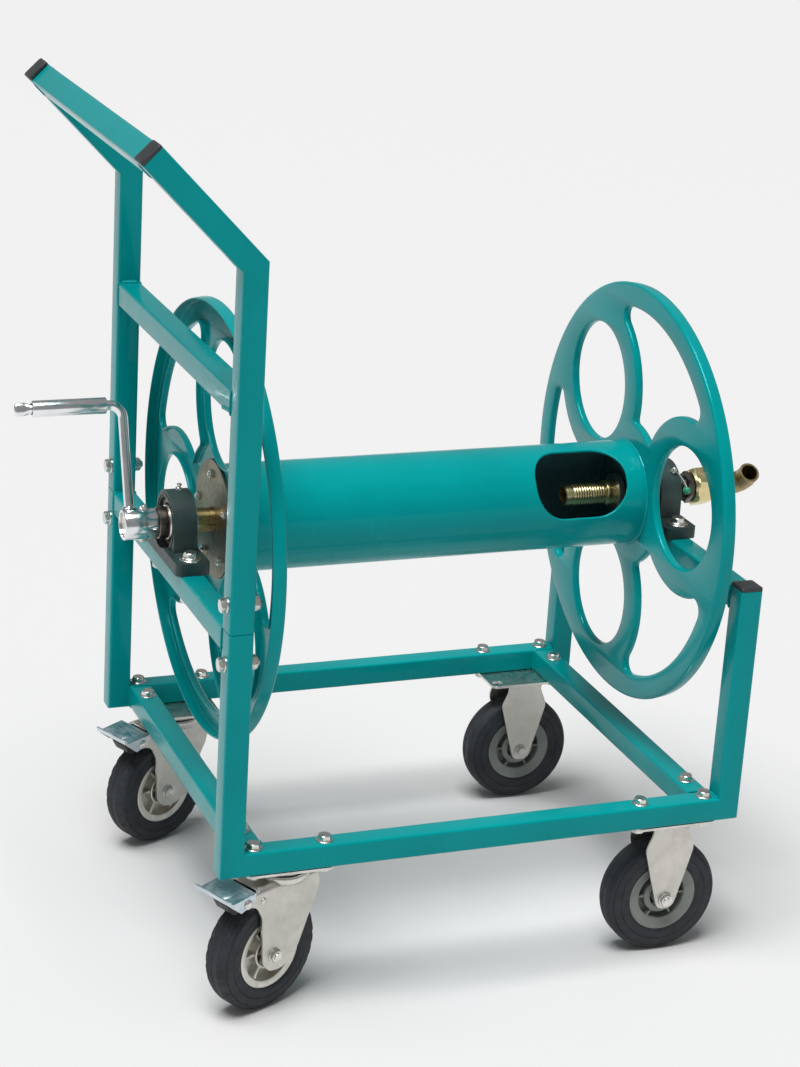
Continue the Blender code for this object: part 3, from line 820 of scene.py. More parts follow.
def kidney(turn, grow):
    """The opening between two round holes, its middle at turn degrees."""
    outer = 204.5 + grow
    inner = 80.5 - grow
    ring = 96.5 - grow
    far_r = 11.5 + grow
    near_r = 5.0 + grow
    hole = polar(HOLE_REACH, 60)

    def corner(radius, reach):
        cosine = (radius**2 + HOLE_REACH**2 - reach**2) / (2 * radius * HOLE_REACH)
        return polar(radius, 60 - math.degrees(math.acos(cosine)))

    far = corner(outer - far_r, ring + far_r)
    near = corner(inner + near_r, ring + near_r)
    far_turn = between((0, 0), far)
    near_turn = between((0, 0), near)
    half = arc((0, 0), outer, 0, far_turn, 12)
    half += arc(far, far_r, far_turn, between(far, hole), 10)[1:]
    half += arc(hole, ring, between(hole, far) + 360, between(hole, near) + 360, 22)[1:]
    half += arc(near, near_r, between(near, hole), near_turn + 180, 7)[1:]
    half += arc((0, 0), inner, near_turn, 0, 4)[1:]
    whole = half + [(u, -v) for u, v in half[-2:0:-1]]
    c, s = math.cos(math.radians(turn)), math.sin(math.radians(turn))
    return [(u * c - v * s, u * s + v * c) for u, v in whole]


def make_disc(name, node, turn, face, way):
    """A pressed reel side with rolled edges at its rim and its openings."""
    openings = []
    for k in range(3):
        spot = polar(HOLE_REACH, turn + 120 * k)
        openings.append(
            lambda grow, spot=spot: [
                (spot[0] + u, spot[1] + v) for u, v in circle(65.5 + grow, 72)
            ]
        )
        openings.append(lambda grow, k=k: kidney(turn + 60 + 120 * k, grow))
    rim = [(227.0, 0.0), (228.6, 0.35), (229.8, 1.2), (230.3, 2.3), (230.5, 3.5)]
    rim += [(229.1, 13.4), (228.9, 14.0), (228.1, 14.3), (227.4, 14.0), (227.2, 13.4)]
    rim += [(228.5, 4.4), (228.2, 3.2), (227.4, 2.35), (226.1, 2.0)]
    walls = [[(circle(r, 160), d) for r, d in rim]]
    lip = [(2.9, 0.0), (1.6, 0.35), (0.7, 1.1), (0.15, 2.1), (0.0, 3.2)]
    lip += [(0.0, 7.2), (0.3, 7.8), (1.0, 8.0), (1.7, 7.8), (2.0, 7.2)]
    lip += [(2.0, 3.6), (2.3, 2.7), (3.0, 2.15), (3.9, 2.0)]
    for shape in openings:
        walls.append([(shape(grow), d) for grow, d in lip])
    walls.append(rounds(32, (12.8, 0), (12.8, 2)))
    made = Shape()
    near, far = [], []
    # Each wall runs through the sheet, and the two faces are filled between the walls.
    for wall in walls:
        size = len(wall[0][0])
        base = len(made.points)
        for loop, depth in wall:
            made.points += [
                Vector((face + way * depth, MID_Y + u, AXIS_Z + v)) for u, v in loop
            ]
        for i in range(len(wall) - 1):
            for j in range(size):
                k = (j + 1) % size
                a = base + i * size
                made.faces.append((a + j, a + k, a + k + size, a + j + size))
        near.append([base + j for j in range(size)])
        top = base + (len(wall) - 1) * size
        far.append([top + j for j in range(size)])
    for ids in (near, far):
        flat = [[Vector((made.points[i].y, made.points[i].z, 0)) for i in loop] for loop in ids]
        order = [i for loop in ids for i in loop]
        for triangle in tessellate_polygon(flat):
            made.flat.append(len(made.faces))
            made.faces.append(tuple(order[i] for i in triangle))
    return made.done(name, "reel", "teal_paint", (node,), angle=60)


def make_drum():
    """The drum tube with its hand window, a dark lining of painted shade inside it, and the two
    end plates, dark with painted shade.
    """
    x0, x1 = LEFT_FACE + 0.3, RIGHT_FACE - 0.3
    middle_x, half_l, half_w, corner, half_frame = 448.5, 53.5, 38.0, 34.0, 62.0
    loop = []
    for u, v in round_box(half_l, half_w, corner, 12):
        loop.append((middle_x + u, math.asin(v / DRUM_R)))
    # A frame round the window, in length and turn, on the same number of points.
    left, right, reach = middle_x - half_frame, middle_x + half_frame, math.radians(56)
    edge = []
    for x, a in loop:
        du, dv = (x - middle_x) / half_frame, a / reach
        f = 1 / max(abs(du), abs(dv))
        edge.append([middle_x + du * f * half_frame, dv * f * reach])
    for sx in (-1, 1):
        for sy in (-1, 1):
            corner_at = (middle_x + sx * half_frame, sy * reach)
            nearest = min(
                edge,
                key=lambda e: abs(e[0] - corner_at[0]) / half_frame
                + abs(e[1] - corner_at[1]) / reach,
            )
            nearest[0], nearest[1] = corner_at
    shape = Shape()
    centre_turn = math.radians(180 - 34)

    def skin(x, a, r):
        t = centre_turn - a
        return Vector((x, MID_Y + r * math.cos(t), AXIS_Z + r * math.sin(t)))

    outer, inner = DRUM_R, DRUM_R - 2.5
    levels = [
        (inner, 0.0), (inner + 0.4, -0.25), (outer - 1.1, -0.25), (outer - 0.6, -0.1),
        (outer - 0.2, 0.3), (outer - 0.02, 0.8), (outer, 1.3),
    ]

    def loop_at(f, r, push=0.0):
        out = []
        for (x, a), (ex, ea) in zip(loop, edge):
            xx, aa = x + (ex - x) * f, a + (ea - a) * f
            dx, da = (x - middle_x), a * DRUM_R
            norm = math.hypot(dx, da)
            out.append(skin(xx + dx / norm * push, aa + da / norm * push / DRUM_R, r))
        return out

    rings = [loop_at(f, inner) for f in (1.0, 0.66, 0.33)]
    rings += [loop_at(0.0, r, push) for r, push in levels]
    rings += [loop_at(f, outer) for f in (0.33, 0.66, 1.0)]
    shape.rings(rings, False, False)
    # The rest of the tube, on the frame's own points where it meets them.
    turns = sorted({round(a, 9) for _, a in edge if abs(a) < reach - 1e-9} | {-reach, reach})
    more = 56
    rest = [reach + (2 * math.pi - 2 * reach) * i / more for i in range(more + 1)]
    across = sorted(
        {round(x, 6) for x, a in edge if abs(abs(a) - reach) < 1e-9} | {left, right}
    )

    def tube_walls(made, radii, first, last, steps):
        """The tube beside and behind the window, at both radii, and its two ends."""
        head = [first] + [first + step for step in steps]
        for r in radii:
            for xs, ts in (
                (head + [left], turns), ([right, last], turns), (head + across + [last], rest)
            ):
                base, size = len(made.points), len(ts)
                for x in xs:
                    made.points += [skin(x, a, r) for a in ts]
                for i in range(len(xs) - 1):
                    for j in range(size - 1):
                        a = base + i * size + j
                        made.faces.append((a, a + 1, a + size + 1, a + size))
        whole = turns[:-1] + rest[:-1]
        size = len(whole)
        for x in (first, last):
            base = len(made.points)
            for r in radii:
                made.points += [skin(x, a, r) for a in whole]
            for j in range(size):
                k = (j + 1) % size
                made.faces.append((base + j, base + k, base + size + k, base + size + j))

    tube_walls(shape, (outer, inner), x0, x1, (60, 160, 260))
    shape.done("drum_tube", "reel", "teal_paint", ("reel_drum",), angle=50)
    # A dark sheet just inside the tube's teal inner face: painted shade for the drum's dim
    # inside.
    lining = Shape()
    wide = [
        (x + (x - middle_x) * 0.012 + math.copysign(0.5, x - middle_x), a * 1.03)
        for x, a in loop
    ]
    lining_rings = []
    for r in (inner - 0.05, inner - 0.35):
        lining_rings.append(
            ([skin(x, a, r) for x, a in wide], [skin(x, a, r) for x, a in edge])
        )
    (near_a, far_a), (near_b, far_b) = lining_rings
    lining.rings([far_a, near_a, near_b, far_b], False, False)
    tube_walls(lining, (inner - 0.05, inner - 0.35), x0 + 5.5, x1 - 5.5, ())
    lining.done("painted_shade_drum_lining", "reel", "painted_shade_inside", angle=50)
    for place, x, way in (("left", x0, 1), ("right", x1, -1)):
        # End plates inside the drum, dark with painted shade.
        profile = [(12.9, 0.6), (outer - 2.8, 0.6), (outer - 2.8, 4.6), (12.9, 4.6)]
        Shape().lathe(profile, (x, MID_Y, AXIS_Z), X_DIR * way, 72).done(
            f"painted_shade_drum_end_{place}", "reel", "painted_shade_inside", bevel=0.4
        )

        def ripple(i, j, r, d):
            if j in (1, 2):
                r += 0.16 * math.sin(i * 1.3) + 0.12 * smooth_noise(i, 3)
            return r, d

        bead = [(56.9, 0.0), (58.9, 0.1), (58.5, 1.2), (57.6, 2.1), (56.9, 2.3)]
        Shape().lathe(bead, (x, MID_Y, AXIS_Z), X_DIR * way, 150, ripple).done(
            f"drum_weld_{place}", "reel", "weld_paint", angle=70
        )


def make_reel():
    """Discs, drum, hub plates, shafts and the hose connector."""
    make_disc("reel_side_left", "reel_disc_left", 103.0, LEFT_FACE, -1)
    make_disc("reel_side_right", "reel_disc_right", 49.0, RIGHT_FACE, 1)
    make_drum()
    for place, face, way in (("left", LEFT_FACE - 2.3, -1), ("right", RIGHT_FACE + 2.3, 1)):
        holes = [[(u, v) for u, v in circle(12.9, 36)]]
        shape = Shape().slab(
            circle(62.5, 96), holes, 0, 3.0, (face, MID_Y, AXIS_Z), Y_DIR, Z_DIR, X_DIR * way
        )
        shape.done(
            f"flange_plate_{place}", "reel", "olive", (f"hub_plate_{place}",), bevel=0.35
        )
        for k, turn in enumerate((12, 84, 156, 228, 300)):
            u, v = polar(48.0, turn)
            spot = (face + way * 3.05, MID_Y + u, AXIS_Z + v)
            bolt(f"flange_bolt_{place}_{k}", spot, X_DIR * way, "reel", 8.0, 3.6, 0.0, 1.6)
    steps = [(12.5, -42.0), (12.5, 43.0), (12.1, 43.4), (12.1, 45.0), (12.5, 45.4)]
    steps += [(12.5, 63.4), (11.9, 64.0)]
    Shape().rod([(circle(r, 48), d) for r, d in steps], AXIS, X_DIR).done(
        "axle_shaft_left", "reel", "yellow", ("shaft_left",), angle=40
    )
    steps = [(6.0, -40.6), (11.2, -41.0), (12.3, -41.6), (12.3, -42.2)]
    Shape().rod([(circle(r, 48), d - 1.0) for r, d in steps], AXIS, X_DIR).done(
        "shaft_end", "reel", "bolt", angle=40
    )
    collar = [
        (12.6, 27.2), (15.0, 27.2), (15.5, 27.7), (15.5, 31.2), (15.0, 31.7), (12.6, 31.7)
    ]
    Shape().lathe(collar, AXIS, X_DIR, 48).done("shaft_collar", "reel", "bolt", angle=40)
    profile = [(8.2, 515.5), (12.5, 515.5), (12.5, 587.0)]
    for i in range(6):
        x = 587.6 + i * 1.7
        profile += [(13.0, x), (12.0, x + 0.85)]
    profile += [(12.4, 598.5), (12.4, 616.0), (8.2, 616.0)]
    Shape().lathe(profile, AXIS, X_DIR, 56).done(
        "axle_pipe_right", "reel", "dark_steel", ("shaft_right_pipe",), angle=40
    )
    profile = [(7.6, 449.4), (10.2, 449.4), (11.2, 450.4), (11.6, 456.0), (11.3, 458.5)]
    for i in range(12):
        x = 459.5 + i * 3.1
        profile += [(11.3, x), (11.9, x + 0.9), (11.9, x + 2.2), (11.3, x + 3.0)]
    profile += [(10.8, 497.0), (13.4, 498.2), (13.9, 499.0), (13.9, 503.6), (13.0, 504.6)]
    profile += [
        (13.0, 507.4), (14.6, 508.0), (14.9, 508.8), (14.9, 514.4), (14.4, 515.1),
        (7.6, 515.1)
    ]
    Shape().lathe(profile, AXIS, X_DIR, 48).done(
        "hose_tail", "reel", "brass", ("hose_connector",), angle=40
    )
    ring = [
        (15.1, 508.4), (20.2, 508.6), (20.6, 509.4), (20.6, 515.4), (20.2, 516.0),
        (15.1, 516.0)
    ]
    Shape().lathe(ring, AXIS, X_DIR, 48).done("tail_lock_ring", "reel", "zinc", angle=40)


# ---------------------------------------------------------------- bearings


def make_bearings():
    """Pillow blocks, races, seals, nipples and holding bolts."""
    base_z = SEAM_Z + 0.3
    for place, x, way in (("left", TUBE / 2, -1), ("right", LENGTH - TUBE / 2, 1)):
        outline = round_corners([(-18, -65), (18, -65), (18, 65), (-18, 65)], 5.0)
        slots = [[(u, v + s * BLOCK_BOLT_Y) for u, v in circle(6.2, 24)] for s in (-1, 1)]
        block = Shape().slab(
            outline, slots, 0, 13.0, (x, MID_Y, base_z), X_DIR, Y_DIR, Z_DIR
        ).done(f"bearing_block_{place}", "frame", "cast", (f"pillow_block_{place}",), angle=30)
        rise = AXIS_Z - base_z
        flank = [(-44, 11), (-34.4, 14), (-33.8, rise - 6)]
        flank += [polar(34.0, a) for a in range(188, -9, -7)]
        flank = [(u, v + (rise if i > 2 else 0)) for i, (u, v) in enumerate(flank)]
        flank += [(33.8, rise - 6), (34.4, 14), (44, 11), (44, 4), (-44, 4)]
        outer = Shape().slab(
            flank, [], -12.4, 12.4, (x, MID_Y, base_z), Y_DIR, Z_DIR, X_DIR
        )
        join(block, outer)
        rim = [(28.6, -13.2), (30.4, -13.2), (30.4, 13.2), (28.6, 13.2)]
        join(block, Shape().lathe(rim, (x, MID_Y, AXIS_Z), X_DIR, 60))
        bore = Shape().rod(rounds(64, (26.2, -30), (26.2, 30)), (x, MID_Y, AXIS_Z), X_DIR)
        join(block, bore, "DIFFERENCE")
        finish_cut(block, "cast", 1.5, 3)
        spot = (x, MID_Y, AXIS_Z)
        race = [(20.4, -9.5), (26.0, -9.5), (26.0, 9.5), (20.4, 9.5)]
        Shape().lathe(race, spot, X_DIR, 64).done(
            f"outer_race_{place}", "frame", "race", bevel=0.5
        )
        for k, side in enumerate((-1, 1)):
            seal = [(17.4, 6.2), (18.4, 7.0), (20.2, 7.2), (20.2, 5.2), (17.4, 5.2)]
            Shape().lathe(seal, spot, X_DIR * side, 64).done(
                f"bearing_seal_{place}_{k}", "frame", "seal", angle=40
            )
        inner = [
            (12.8, -14.3), (16.2, -14.3), (16.6, -13.5), (16.6, 21.3), (15.9, 22.1),
            (12.8, 22.1)
        ]
        Shape().lathe(inner, spot, X_DIR * way, 64).done(
            f"inner_race_{place}", "reel", "race", (f"bearing_ring_{place}",), angle=40
        )
        lip = [(16.5, 9.4), (18.4, 9.6), (18.6, 10.4), (17.9, 11.6), (16.5, 11.8)]
        Shape().lathe(lip, spot, X_DIR * way, 64).done(
            f"race_lip_{place}", "reel", "bolt", angle=40
        )
        out = Vector((0, math.cos(math.radians(75)), math.sin(math.radians(75))))
        grub = Vector(spot) + X_DIR * way * 16.2 + out * 16.6
        Shape().rod(
            rounds(16, (2.2, -1.5), (2.2, 0.7), (1.7, 0.9)), grub, out
        ).done(f"grub_screw_{place}", "reel", "dark_steel")
        for s, where in ((-1, "front"), (1, "back")):
            spot_b = Vector((x, MID_Y + s * BLOCK_BOLT_Y, base_z + 13.1))
            steps = rounds(36, (11.4, 0.0), (11.4, 1.3), (10.9, 1.8))
            shape = Shape().rod(steps, spot_b, Z_DIR)
            shape.rod(rounds(36, (8.6, 1.7), (8.6, 2.6), (7.6, 3.4)), spot_b, Z_DIR)
            shape.rod(hex_steps(13.4, 3.0, 8.4), spot_b, Z_DIR)
            shape.rod(rounds(20, (5, -40.0), (5, 3.0)), spot_b, Z_DIR)
            shape.rod(hex_steps(16.6, -39.0, -46.0), spot_b, Z_DIR)
            shape.done(f"bearing_bolt_{place}_{where}", "frame", "bolt",
                       (f"block_bolt_{place}_{where}",), angle=28)
        tilt = math.radians(86 if place == "left" else 128)
        lean = Vector((0.15, math.cos(tilt), math.sin(tilt))).normalized()
        top = Vector((x - (3.5 if place == "left" else 0), MID_Y, AXIS_Z)) + lean * 33.6
        shape = Shape().rod(hex_steps(6.4, -1.0, 3.0), top, lean)
        neck = [
            (2.1, 2.6), (1.7, 3.6), (1.5, 4.6), (2.4, 5.4), (2.7, 6.2), (2.3, 7.0),
            (1.2, 7.5)
        ]
        shape.rod([(circle(r, 20), d) for r, d in neck], top, lean)
        shape.done(f"grease_nipple_{place}", "frame", "bolt", angle=30)
        if place == "right":
            hang = ((577.0, 208.0, 322.0), (581.5, 200.5, 315.0), (583.4, 195.5, 307.5))
            ends = [top + lean * 3.4] + [Vector(p) for p in hang]
            flat = [(1.5, 0.35), (-1.5, 0.35), (-1.5, -0.35), (1.5, -0.35)]
            Shape().sweep([bent(ends, i / 14) for i in range(15)], X_DIR, flat).done(
                "cap_strap", "frame", "strap", angle=50
            )
            dome = [
                (0.6, 3.1), (2.0, 2.9), (3.2, 2.1), (3.8, 0.8), (4.0, -1.0), (4.0, -3.0),
                (3.2, -3.4), (0.6, -3.4)
            ]
            Shape().lathe(dome, (583.6, 194.0, 305.5), (0.5, -0.8, 0.3), 32).done(
                "nipple_cap", "frame", "green_cap", angle=40
            )


# ---------------------------------------------------------------- crank and inlet


def make_crank():
    """Socket, bent arm, turning grip and set bolts."""
    hub = [(12.8, -45.4), (14.6, -45.4), (15.6, -44.9), (16.0, -44.0), (16.0, -11.4)]
    hub += [(15.6, -10.4), (14.6, -10.0), (12.8, -10.0)]
    Shape().lathe(hub, AXIS, X_DIR, 72).done(
        "crank_socket", "reel", "chrome", ("crank_hub",), angle=50
    )
    out = Vector((0, math.cos(CRANK_TURN), math.sin(CRANK_TURN)))
    centre = Vector((CRANK_X, MID_Y, AXIS_Z))
    side = X_DIR.cross(out)
    end = centre + out * CRANK_R
    turn_r = 14.0
    path = [centre + out * 14.0, centre + out * 60.0]
    middle = centre + out * (CRANK_R - turn_r) - X_DIR * turn_r
    for i in range(13):
        a = math.radians(7.5 * i)
        path.append(middle + X_DIR * turn_r * math.cos(a) + out * turn_r * math.sin(a))
    path.append(end - X_DIR * 94.0)
    rings = path_rings(path, side, circle(5.0, 28))
    last = [p - path[-1] for p in rings[-1]]
    for reach, wide, thin in ((96, 0.99, 1.0), (99, 0.72, 1.2), (102, 0.55, 1.36),
                              (109, 0.55, 1.38), (111.2, 0.5, 1.1), (112, 0.35, 0.6)):
        tip = end - X_DIR * reach
        rings.append([tip + side * p.dot(side) * wide + out * p.dot(out) * thin for p in last])
    Shape().rings(rings).done("crank_arm", "reel", "chrome", ("crank_rod",), angle=50)

    def ripple(i, j, r, d):
        return r + 0.3 * math.sin(i * 1.5) * (j in (1, 2)), d

    bead = [(4.6, 0.6), (7.4, 0.9), (6.6, 2.2), (5.4, 3.4), (4.6, 3.6)]
    Shape().lathe(bead, centre + out * 14.9, out, 40, ripple).done(
        "crank_weld", "reel", "chrome", angle=60
    )
    grip = [
        (6.3, 17.0), (7.6, 17.0), (8.3, 17.4), (8.5, 18.2), (8.5, 92.6), (8.2, 93.5),
        (7.6, 94.0), (6.3, 94.0)
    ]
    Shape().lathe(grip, end, -X_DIR, 56).done(
        "grip_sleeve", "crank_grip", "chrome", ("crank_grip",), angle=50
    )
    for k, (way, height) in enumerate(((1, 5.0), (-1, 4.6))):
        spot = Vector((-23.0, MID_Y, AXIS_Z + way * 15.7))
        bolt(f"crank_set_bolt_{k}", spot, Z_DIR * way, "reel", 7.0, height - 1.2, 0.0, 0.8)


def make_inlet():
    """Lock nut, union nut and the elbow that turns in it."""
    half_turn = math.pi / 6
    flange = [(31, 1.0, 596.4), (31, 1.16, 598.0), (31, 1.16, 602.6), (31, 1.0, 604.0)]
    Shape().rod([(hexagon(w, t, 0.25), d) for w, t, d in flange], AXIS, X_DIR).done(
        "inlet_lock_nut", "reel", "dark_steel", angle=28
    )
    outer = [(38, 0.93, 604.6), (38, 1.06, 607.0), (38, 1.16, 608.6)]
    outer += [(38, 1.16, 622.0), (38, 1.06, 623.8), (38, 0.9, 624.5)]
    across, up = turn_about(X_DIR)
    rings = [
        [AXIS + X_DIR * d + across * u + up * v for u, v in hexagon(w, t, half_turn)]
        for w, t, d in outer
    ]
    bore = [
        [AXIS + X_DIR * d + across * u + up * v for u, v in circle(13.5, 24)]
        for d in (624.5, 604.6)
    ]
    shape = Shape().rings(rings + bore, True)
    shape.done("swivel_nut", "reel", "brass", ("union_nut",), angle=28)
    lean = Vector((0, -math.sin(math.pi / 4), math.sin(math.pi / 4)))
    corner = AXIS + X_DIR * ELBOW_X
    bend = 17.0
    path = [(AXIS + X_DIR * 618, 0.0), (AXIS + X_DIR * 626.0, 0.0)]
    path += [
        (AXIS + X_DIR * 626.2, 1.0), (AXIS + X_DIR * 630.4, 1.0),
        (AXIS + X_DIR * 630.8, 0.0)
    ]
    middle = corner - X_DIR * bend + lean * bend
    for i in range(17):
        a = math.radians(90 * i / 16)
        path.append((middle + X_DIR * bend * math.sin(a) - lean * bend * math.cos(a), 0.0))
    path += [
        (corner + lean * 24.6, -0.3), (corner + lean * 25.0, 0.04),
        (corner + lean * 26.6, 0.04), (corner + lean * 27, -0.3)
    ]
    inside = [(p, 0.0) for p, _ in path]
    side = X_DIR.cross(lean)
    rings = path_rings(path, side, circle(11.75, 40))
    rings += path_rings(inside, side, circle(9.2, 40))[::-1]
    Shape().rings(rings, True).done(
        "swivel_elbow", "inlet_elbow", "old_brass", ("inlet_elbow",), angle=40
    )


# ---------------------------------------------------------------- wheels


def make_wheel(place, centre, axle, left):
    """Tyre, spoked hub and bearing caps."""
    body = f"wheel_{place}"
    half = [(39.4, 14.6), (41.5, 15.9), (44.0, 16.3), (49.0, 16.5), (49.5, 16.0), (50.0, 16.5)]
    half += [(55.0, 16.3), (57.6, 15.6), (58.0, 15.0), (58.6, 15.4), (60.6, 14.2), (62.0, 12.4)]
    half += [
        (62.4, 11.4), (62.0, 10.8), (63.2, 9.6), (63.8, 7.6), (63.3, 7.0), (64.0, 6.2),
        (64.0, 2.6), (63.4, 2.0)
    ]
    profile = [(r, -d) for r, d in half] + [(r, d) for r, d in half[::-1]]
    count = 168
    notch = (10, 11, 14)

    def tread(i, j, r, d):
        k = j if j < len(half) else 2 * len(half) - 1 - j
        if left and k in notch and i % 6 in (0, 1):
            r -= 1.3
        return r, d

    Shape().lathe(profile, centre, axle, count, tread).done(
        f"tread_{place}", body, "tyre", (f"tyre_{place}",), angle=40
    )
    finish = "pale_hub" if left else "grey_hub"
    if left:
        rim = [
            (39.2, -13.6), (38.8, -15.0), (37.6, -15.6), (33.6, -15.0), (31.6, -14.2),
            (30.9, -13.0), (30.4, 0.0)
        ]
    else:
        rim = [
            (39.2, -13.6), (38.8, -15.0), (37.8, -15.4), (36.6, -14.6), (29.6, -12.6),
            (27.6, -12.2), (27.0, -11.4), (26.6, 0.0)
        ]
    rim = mirrored(rim)
    shape = Shape().lathe(rim, centre, axle, 96)
    hub = [(6.0, -16.2), (9.2, -16.2), (10.2, -15.4), (10.8, -8.0), (11.0, 0.0)]
    shape.lathe(mirrored(hub), centre, axle, 64)
    web = [(10.0, -2.2), (31.0, -2.2), (31.0, 2.2), (10.0, 2.2)]
    shape.lathe(web, centre, axle, 64)
    if left:
        ring = [(15.2, -13.6), (16.0, -14.4), (17.4, -14.4), (18.2, -13.6), (18.6, 0.0)]
        ring = mirrored(ring) + [(15.0, 0.0)]
    else:
        ring = [(13.2, -11.4), (14.0, -12.6), (18.6, -12.2), (19.8, -11.4), (20.2, 0.0)]
        ring = mirrored(ring) + [(13.0, 0.0)]
    shape.lathe(ring, centre, axle, 64)
    across, up = turn_about(axle)
    axle = Vector(axle)
    for k in range(6):
        t = 2 * math.pi * (k + 0.5) / 6
        out = across * math.cos(t) + up * math.sin(t)
        way = axle.cross(out)
        thick = 1.5 if left else 1.35
        sides = [
            [Vector(centre) + out * r + way * s * w + axle * d
             for s, d in (
                 (-1, -h), (-0.6, -h - 0.8), (0.6, -h - 0.8), (1, -h),
                 (1, h), (0.6, h + 0.8), (-0.6, h + 0.8), (-1, h),
             )]
            for r, w, h in (
                (10.0, thick + 0.6, 9.0), (18.0, thick, 9.4), (25.0, thick, 9.4),
                (31.5, thick + 0.7, 10.4)
            )
        ]
        shape.rings(sides)
    shape.done(f"rim_{place}", body, finish, (f"wheel_hub_{place}",), angle=32)
    for k, s in enumerate((-1, 1)):
        cap_profile = [(4.6, 0.0), (8.6, 0.0), (8.6, 1.4), (8.0, 1.9), (4.6, 1.9)]
        spot = Vector(centre) + axle * s * 15.4
        Shape().lathe(cap_profile, spot, axle * s, 40).done(
            f"hub_bush_{place}_{k}", body, "zinc", angle=40
        )


def axle_bolt(place, centre, axle, body, nut_near):
    """The wheel's bolt, with its head on one leg and its nut on the other."""
    axle = Vector(axle)
    shape = Shape()
    for s in (-1, 1):
        steps = rounds(32, (8.0, 22.1), (8.0, 23.2), (7.5, 23.6))
        shape.rod(steps, centre, axle * s)
        nut = (s == -1) == nut_near
        if nut:
            shape.rod(hex_steps(12.6, 23.5, 27.0), centre, axle * s)
            shape.rod(thread_steps(3.9, 26.8, 28.4), centre, axle * s)
        else:
            shape.rod(hex_steps(12.6, 23.5, 28.0), centre, axle * s)
    shape.rod(rounds(24, (3.9, -22.3), (3.9, 22.3)), centre, axle)
    shape.done(f"axle_bolt_{place}", body, "bolt", (f"axle_{place}",), angle=28)


def make_plate(name, hub, node, finish="zinc"):
    """A caster plate with four slots."""
    slots = []
    for su in (-1, 1):
        for sv in (-1, 1):
            slots.append(
                [
                    (su * PLATE_BOLT_X + u, sv * PLATE_BOLT_Y + v) for u,
                    v in round_box(6.2, 4.4, 4.3)
                ]
            )
    outline = round_box(47.4, 31.9, 7.0)
    shape = Shape().slab(outline, slots, -3.3, -0.4, hub, X_DIR, Y_DIR, Z_DIR)
    return shape.done(name, "frame", finish, node, bevel=0.5)


def rail_bolts(place, spots):
    """Bolts through the rails, with nuts below the plate."""
    for k, (x, y) in enumerate(spots):
        bolt(
            f"rail_bolt_{place}_{k}", (x, y, 25.05), Z_DIR, "frame", 12.6, 5.2, 9.0,
            reach=28.0
        )
        bolt(f"rail_nut_{place}_{k}", (x, y, -3.35), -Z_DIR, "frame", 12.6, 4.4)


def make_swivel(place, y):
    """A swivel caster with its brake."""
    hub = Vector((SWIVEL_X, y, 0))
    along = Vector((math.cos(TRAIL_TURN), math.sin(TRAIL_TURN), 0))
    axle = Vector((-along.y, along.x, 0))
    centre = hub + along * TRAIL - Z_DIR * DROP
    body = f"fork_{place}"
    make_plate(f"top_plate_{place}", hub, (f"caster_plate_{place}",))
    upper = [
        (14.0, -3.4), (30.5, -3.4), (30.0, -4.6), (28.2, -6.2), (26.6, -7.6), (25.4, -8.0),
        (14.0, -8.0)
    ]
    Shape().lathe(upper, hub, Z_DIR, 72).done(f"upper_race_{place}", "frame", "zinc", angle=40)
    pin = rounds(24, (5.2, -20.8), (5.2, -3.6))
    shape = Shape().rod(pin, hub, Z_DIR)
    shape.rod(hex_steps(16.0, -17.2, -21.0), hub, Z_DIR)
    shape.done(f"king_pin_{place}", "frame", "bolt", angle=28)
    lower = [
        (23.0, -9.8), (26.0, -8.8), (28.4, -8.5), (29.5, -9.3), (29.8, -11.4),
        (29.2, -15.0), (27.4, -18.0), (24.0, -19.4), (23.0, -16.0)
    ]
    Shape().lathe(lower, hub, Z_DIR, 72).done(f"lower_race_{place}", body, "zinc", angle=50)
    section = round_corners(
        [(-22, -125), (-22, -12.2), (22, -12.2), (22, -125)], [0, 7, 7, 0], 7
    )
    section += round_corners(
        [(19.3, -125), (19.3, -14.9), (-19.3, -14.9), (-19.3, -125)], [0, 4.4, 4.4, 0], 6
    )
    side = [(-29, -8), (-34, -26), (-31, -44), (-21, -62), (-9, -90), (-1, -104), (14, -111),
            (30, -110), (40, -100), (41.5, -74), (43.4, -46), (51, -31), (66, -26.3)]
    radii = [0, 9, 22, 30, 30, 14, 14, 14, 14, 40, 14, 12, 0]
    outline = round_corners(side, radii, 7)[:-1] + arc((66, -21), 5.3, 275, 450, 12)
    outline += [(50, -15.9), (46.8, -14.0), (46.4, -8)]
    fork = pressed(f"fork_{place}", body, hub, along, axle, section, outline, 6.0)
    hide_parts(f"caster_fork_{place}")
    roll = [(-30.2, -15.5), (-31.6, -27), (-28.8, -43.4), (-19.0, -61), (-10.5, -84)]
    edge = [hub + along * u + Z_DIR * v for u, v in smooth_line(roll, 5)]
    for k, s in enumerate((-1, 1)):
        moved = [p + axle * 19.75 * s for p in edge]
        Shape().sweep(moved, axle, round_box(2.3, 2.2, 2.1, 4)).done(
            f"fork_edge_{place}_{k}", body, "fork_zinc", angle=50
        )
    rivet = hub + along * 42.5 - Z_DIR * 26
    for k, s in enumerate((-1, 1)):
        steps = rounds(24, (3.6, 22.0), (3.4, 22.8), (2.4, 23.4), (0.8, 23.6))
        Shape().rod(steps, rivet, axle * s).done(
            f"fork_rivet_{place}_{k}", body, "bolt", angle=40
        )
    make_wheel(place, centre, axle, True)
    axle_bolt(place, centre, axle, body, False)
    make_pedal(place, hub, along, axle)
    rail = {"front_left": lambda v: v, "back_left": lambda v: DEPTH - v}[place]
    rail_bolts(place, [(37.5, rail(12.5)), (112.5, rail(12.5)), (37.5, rail(53.5))])


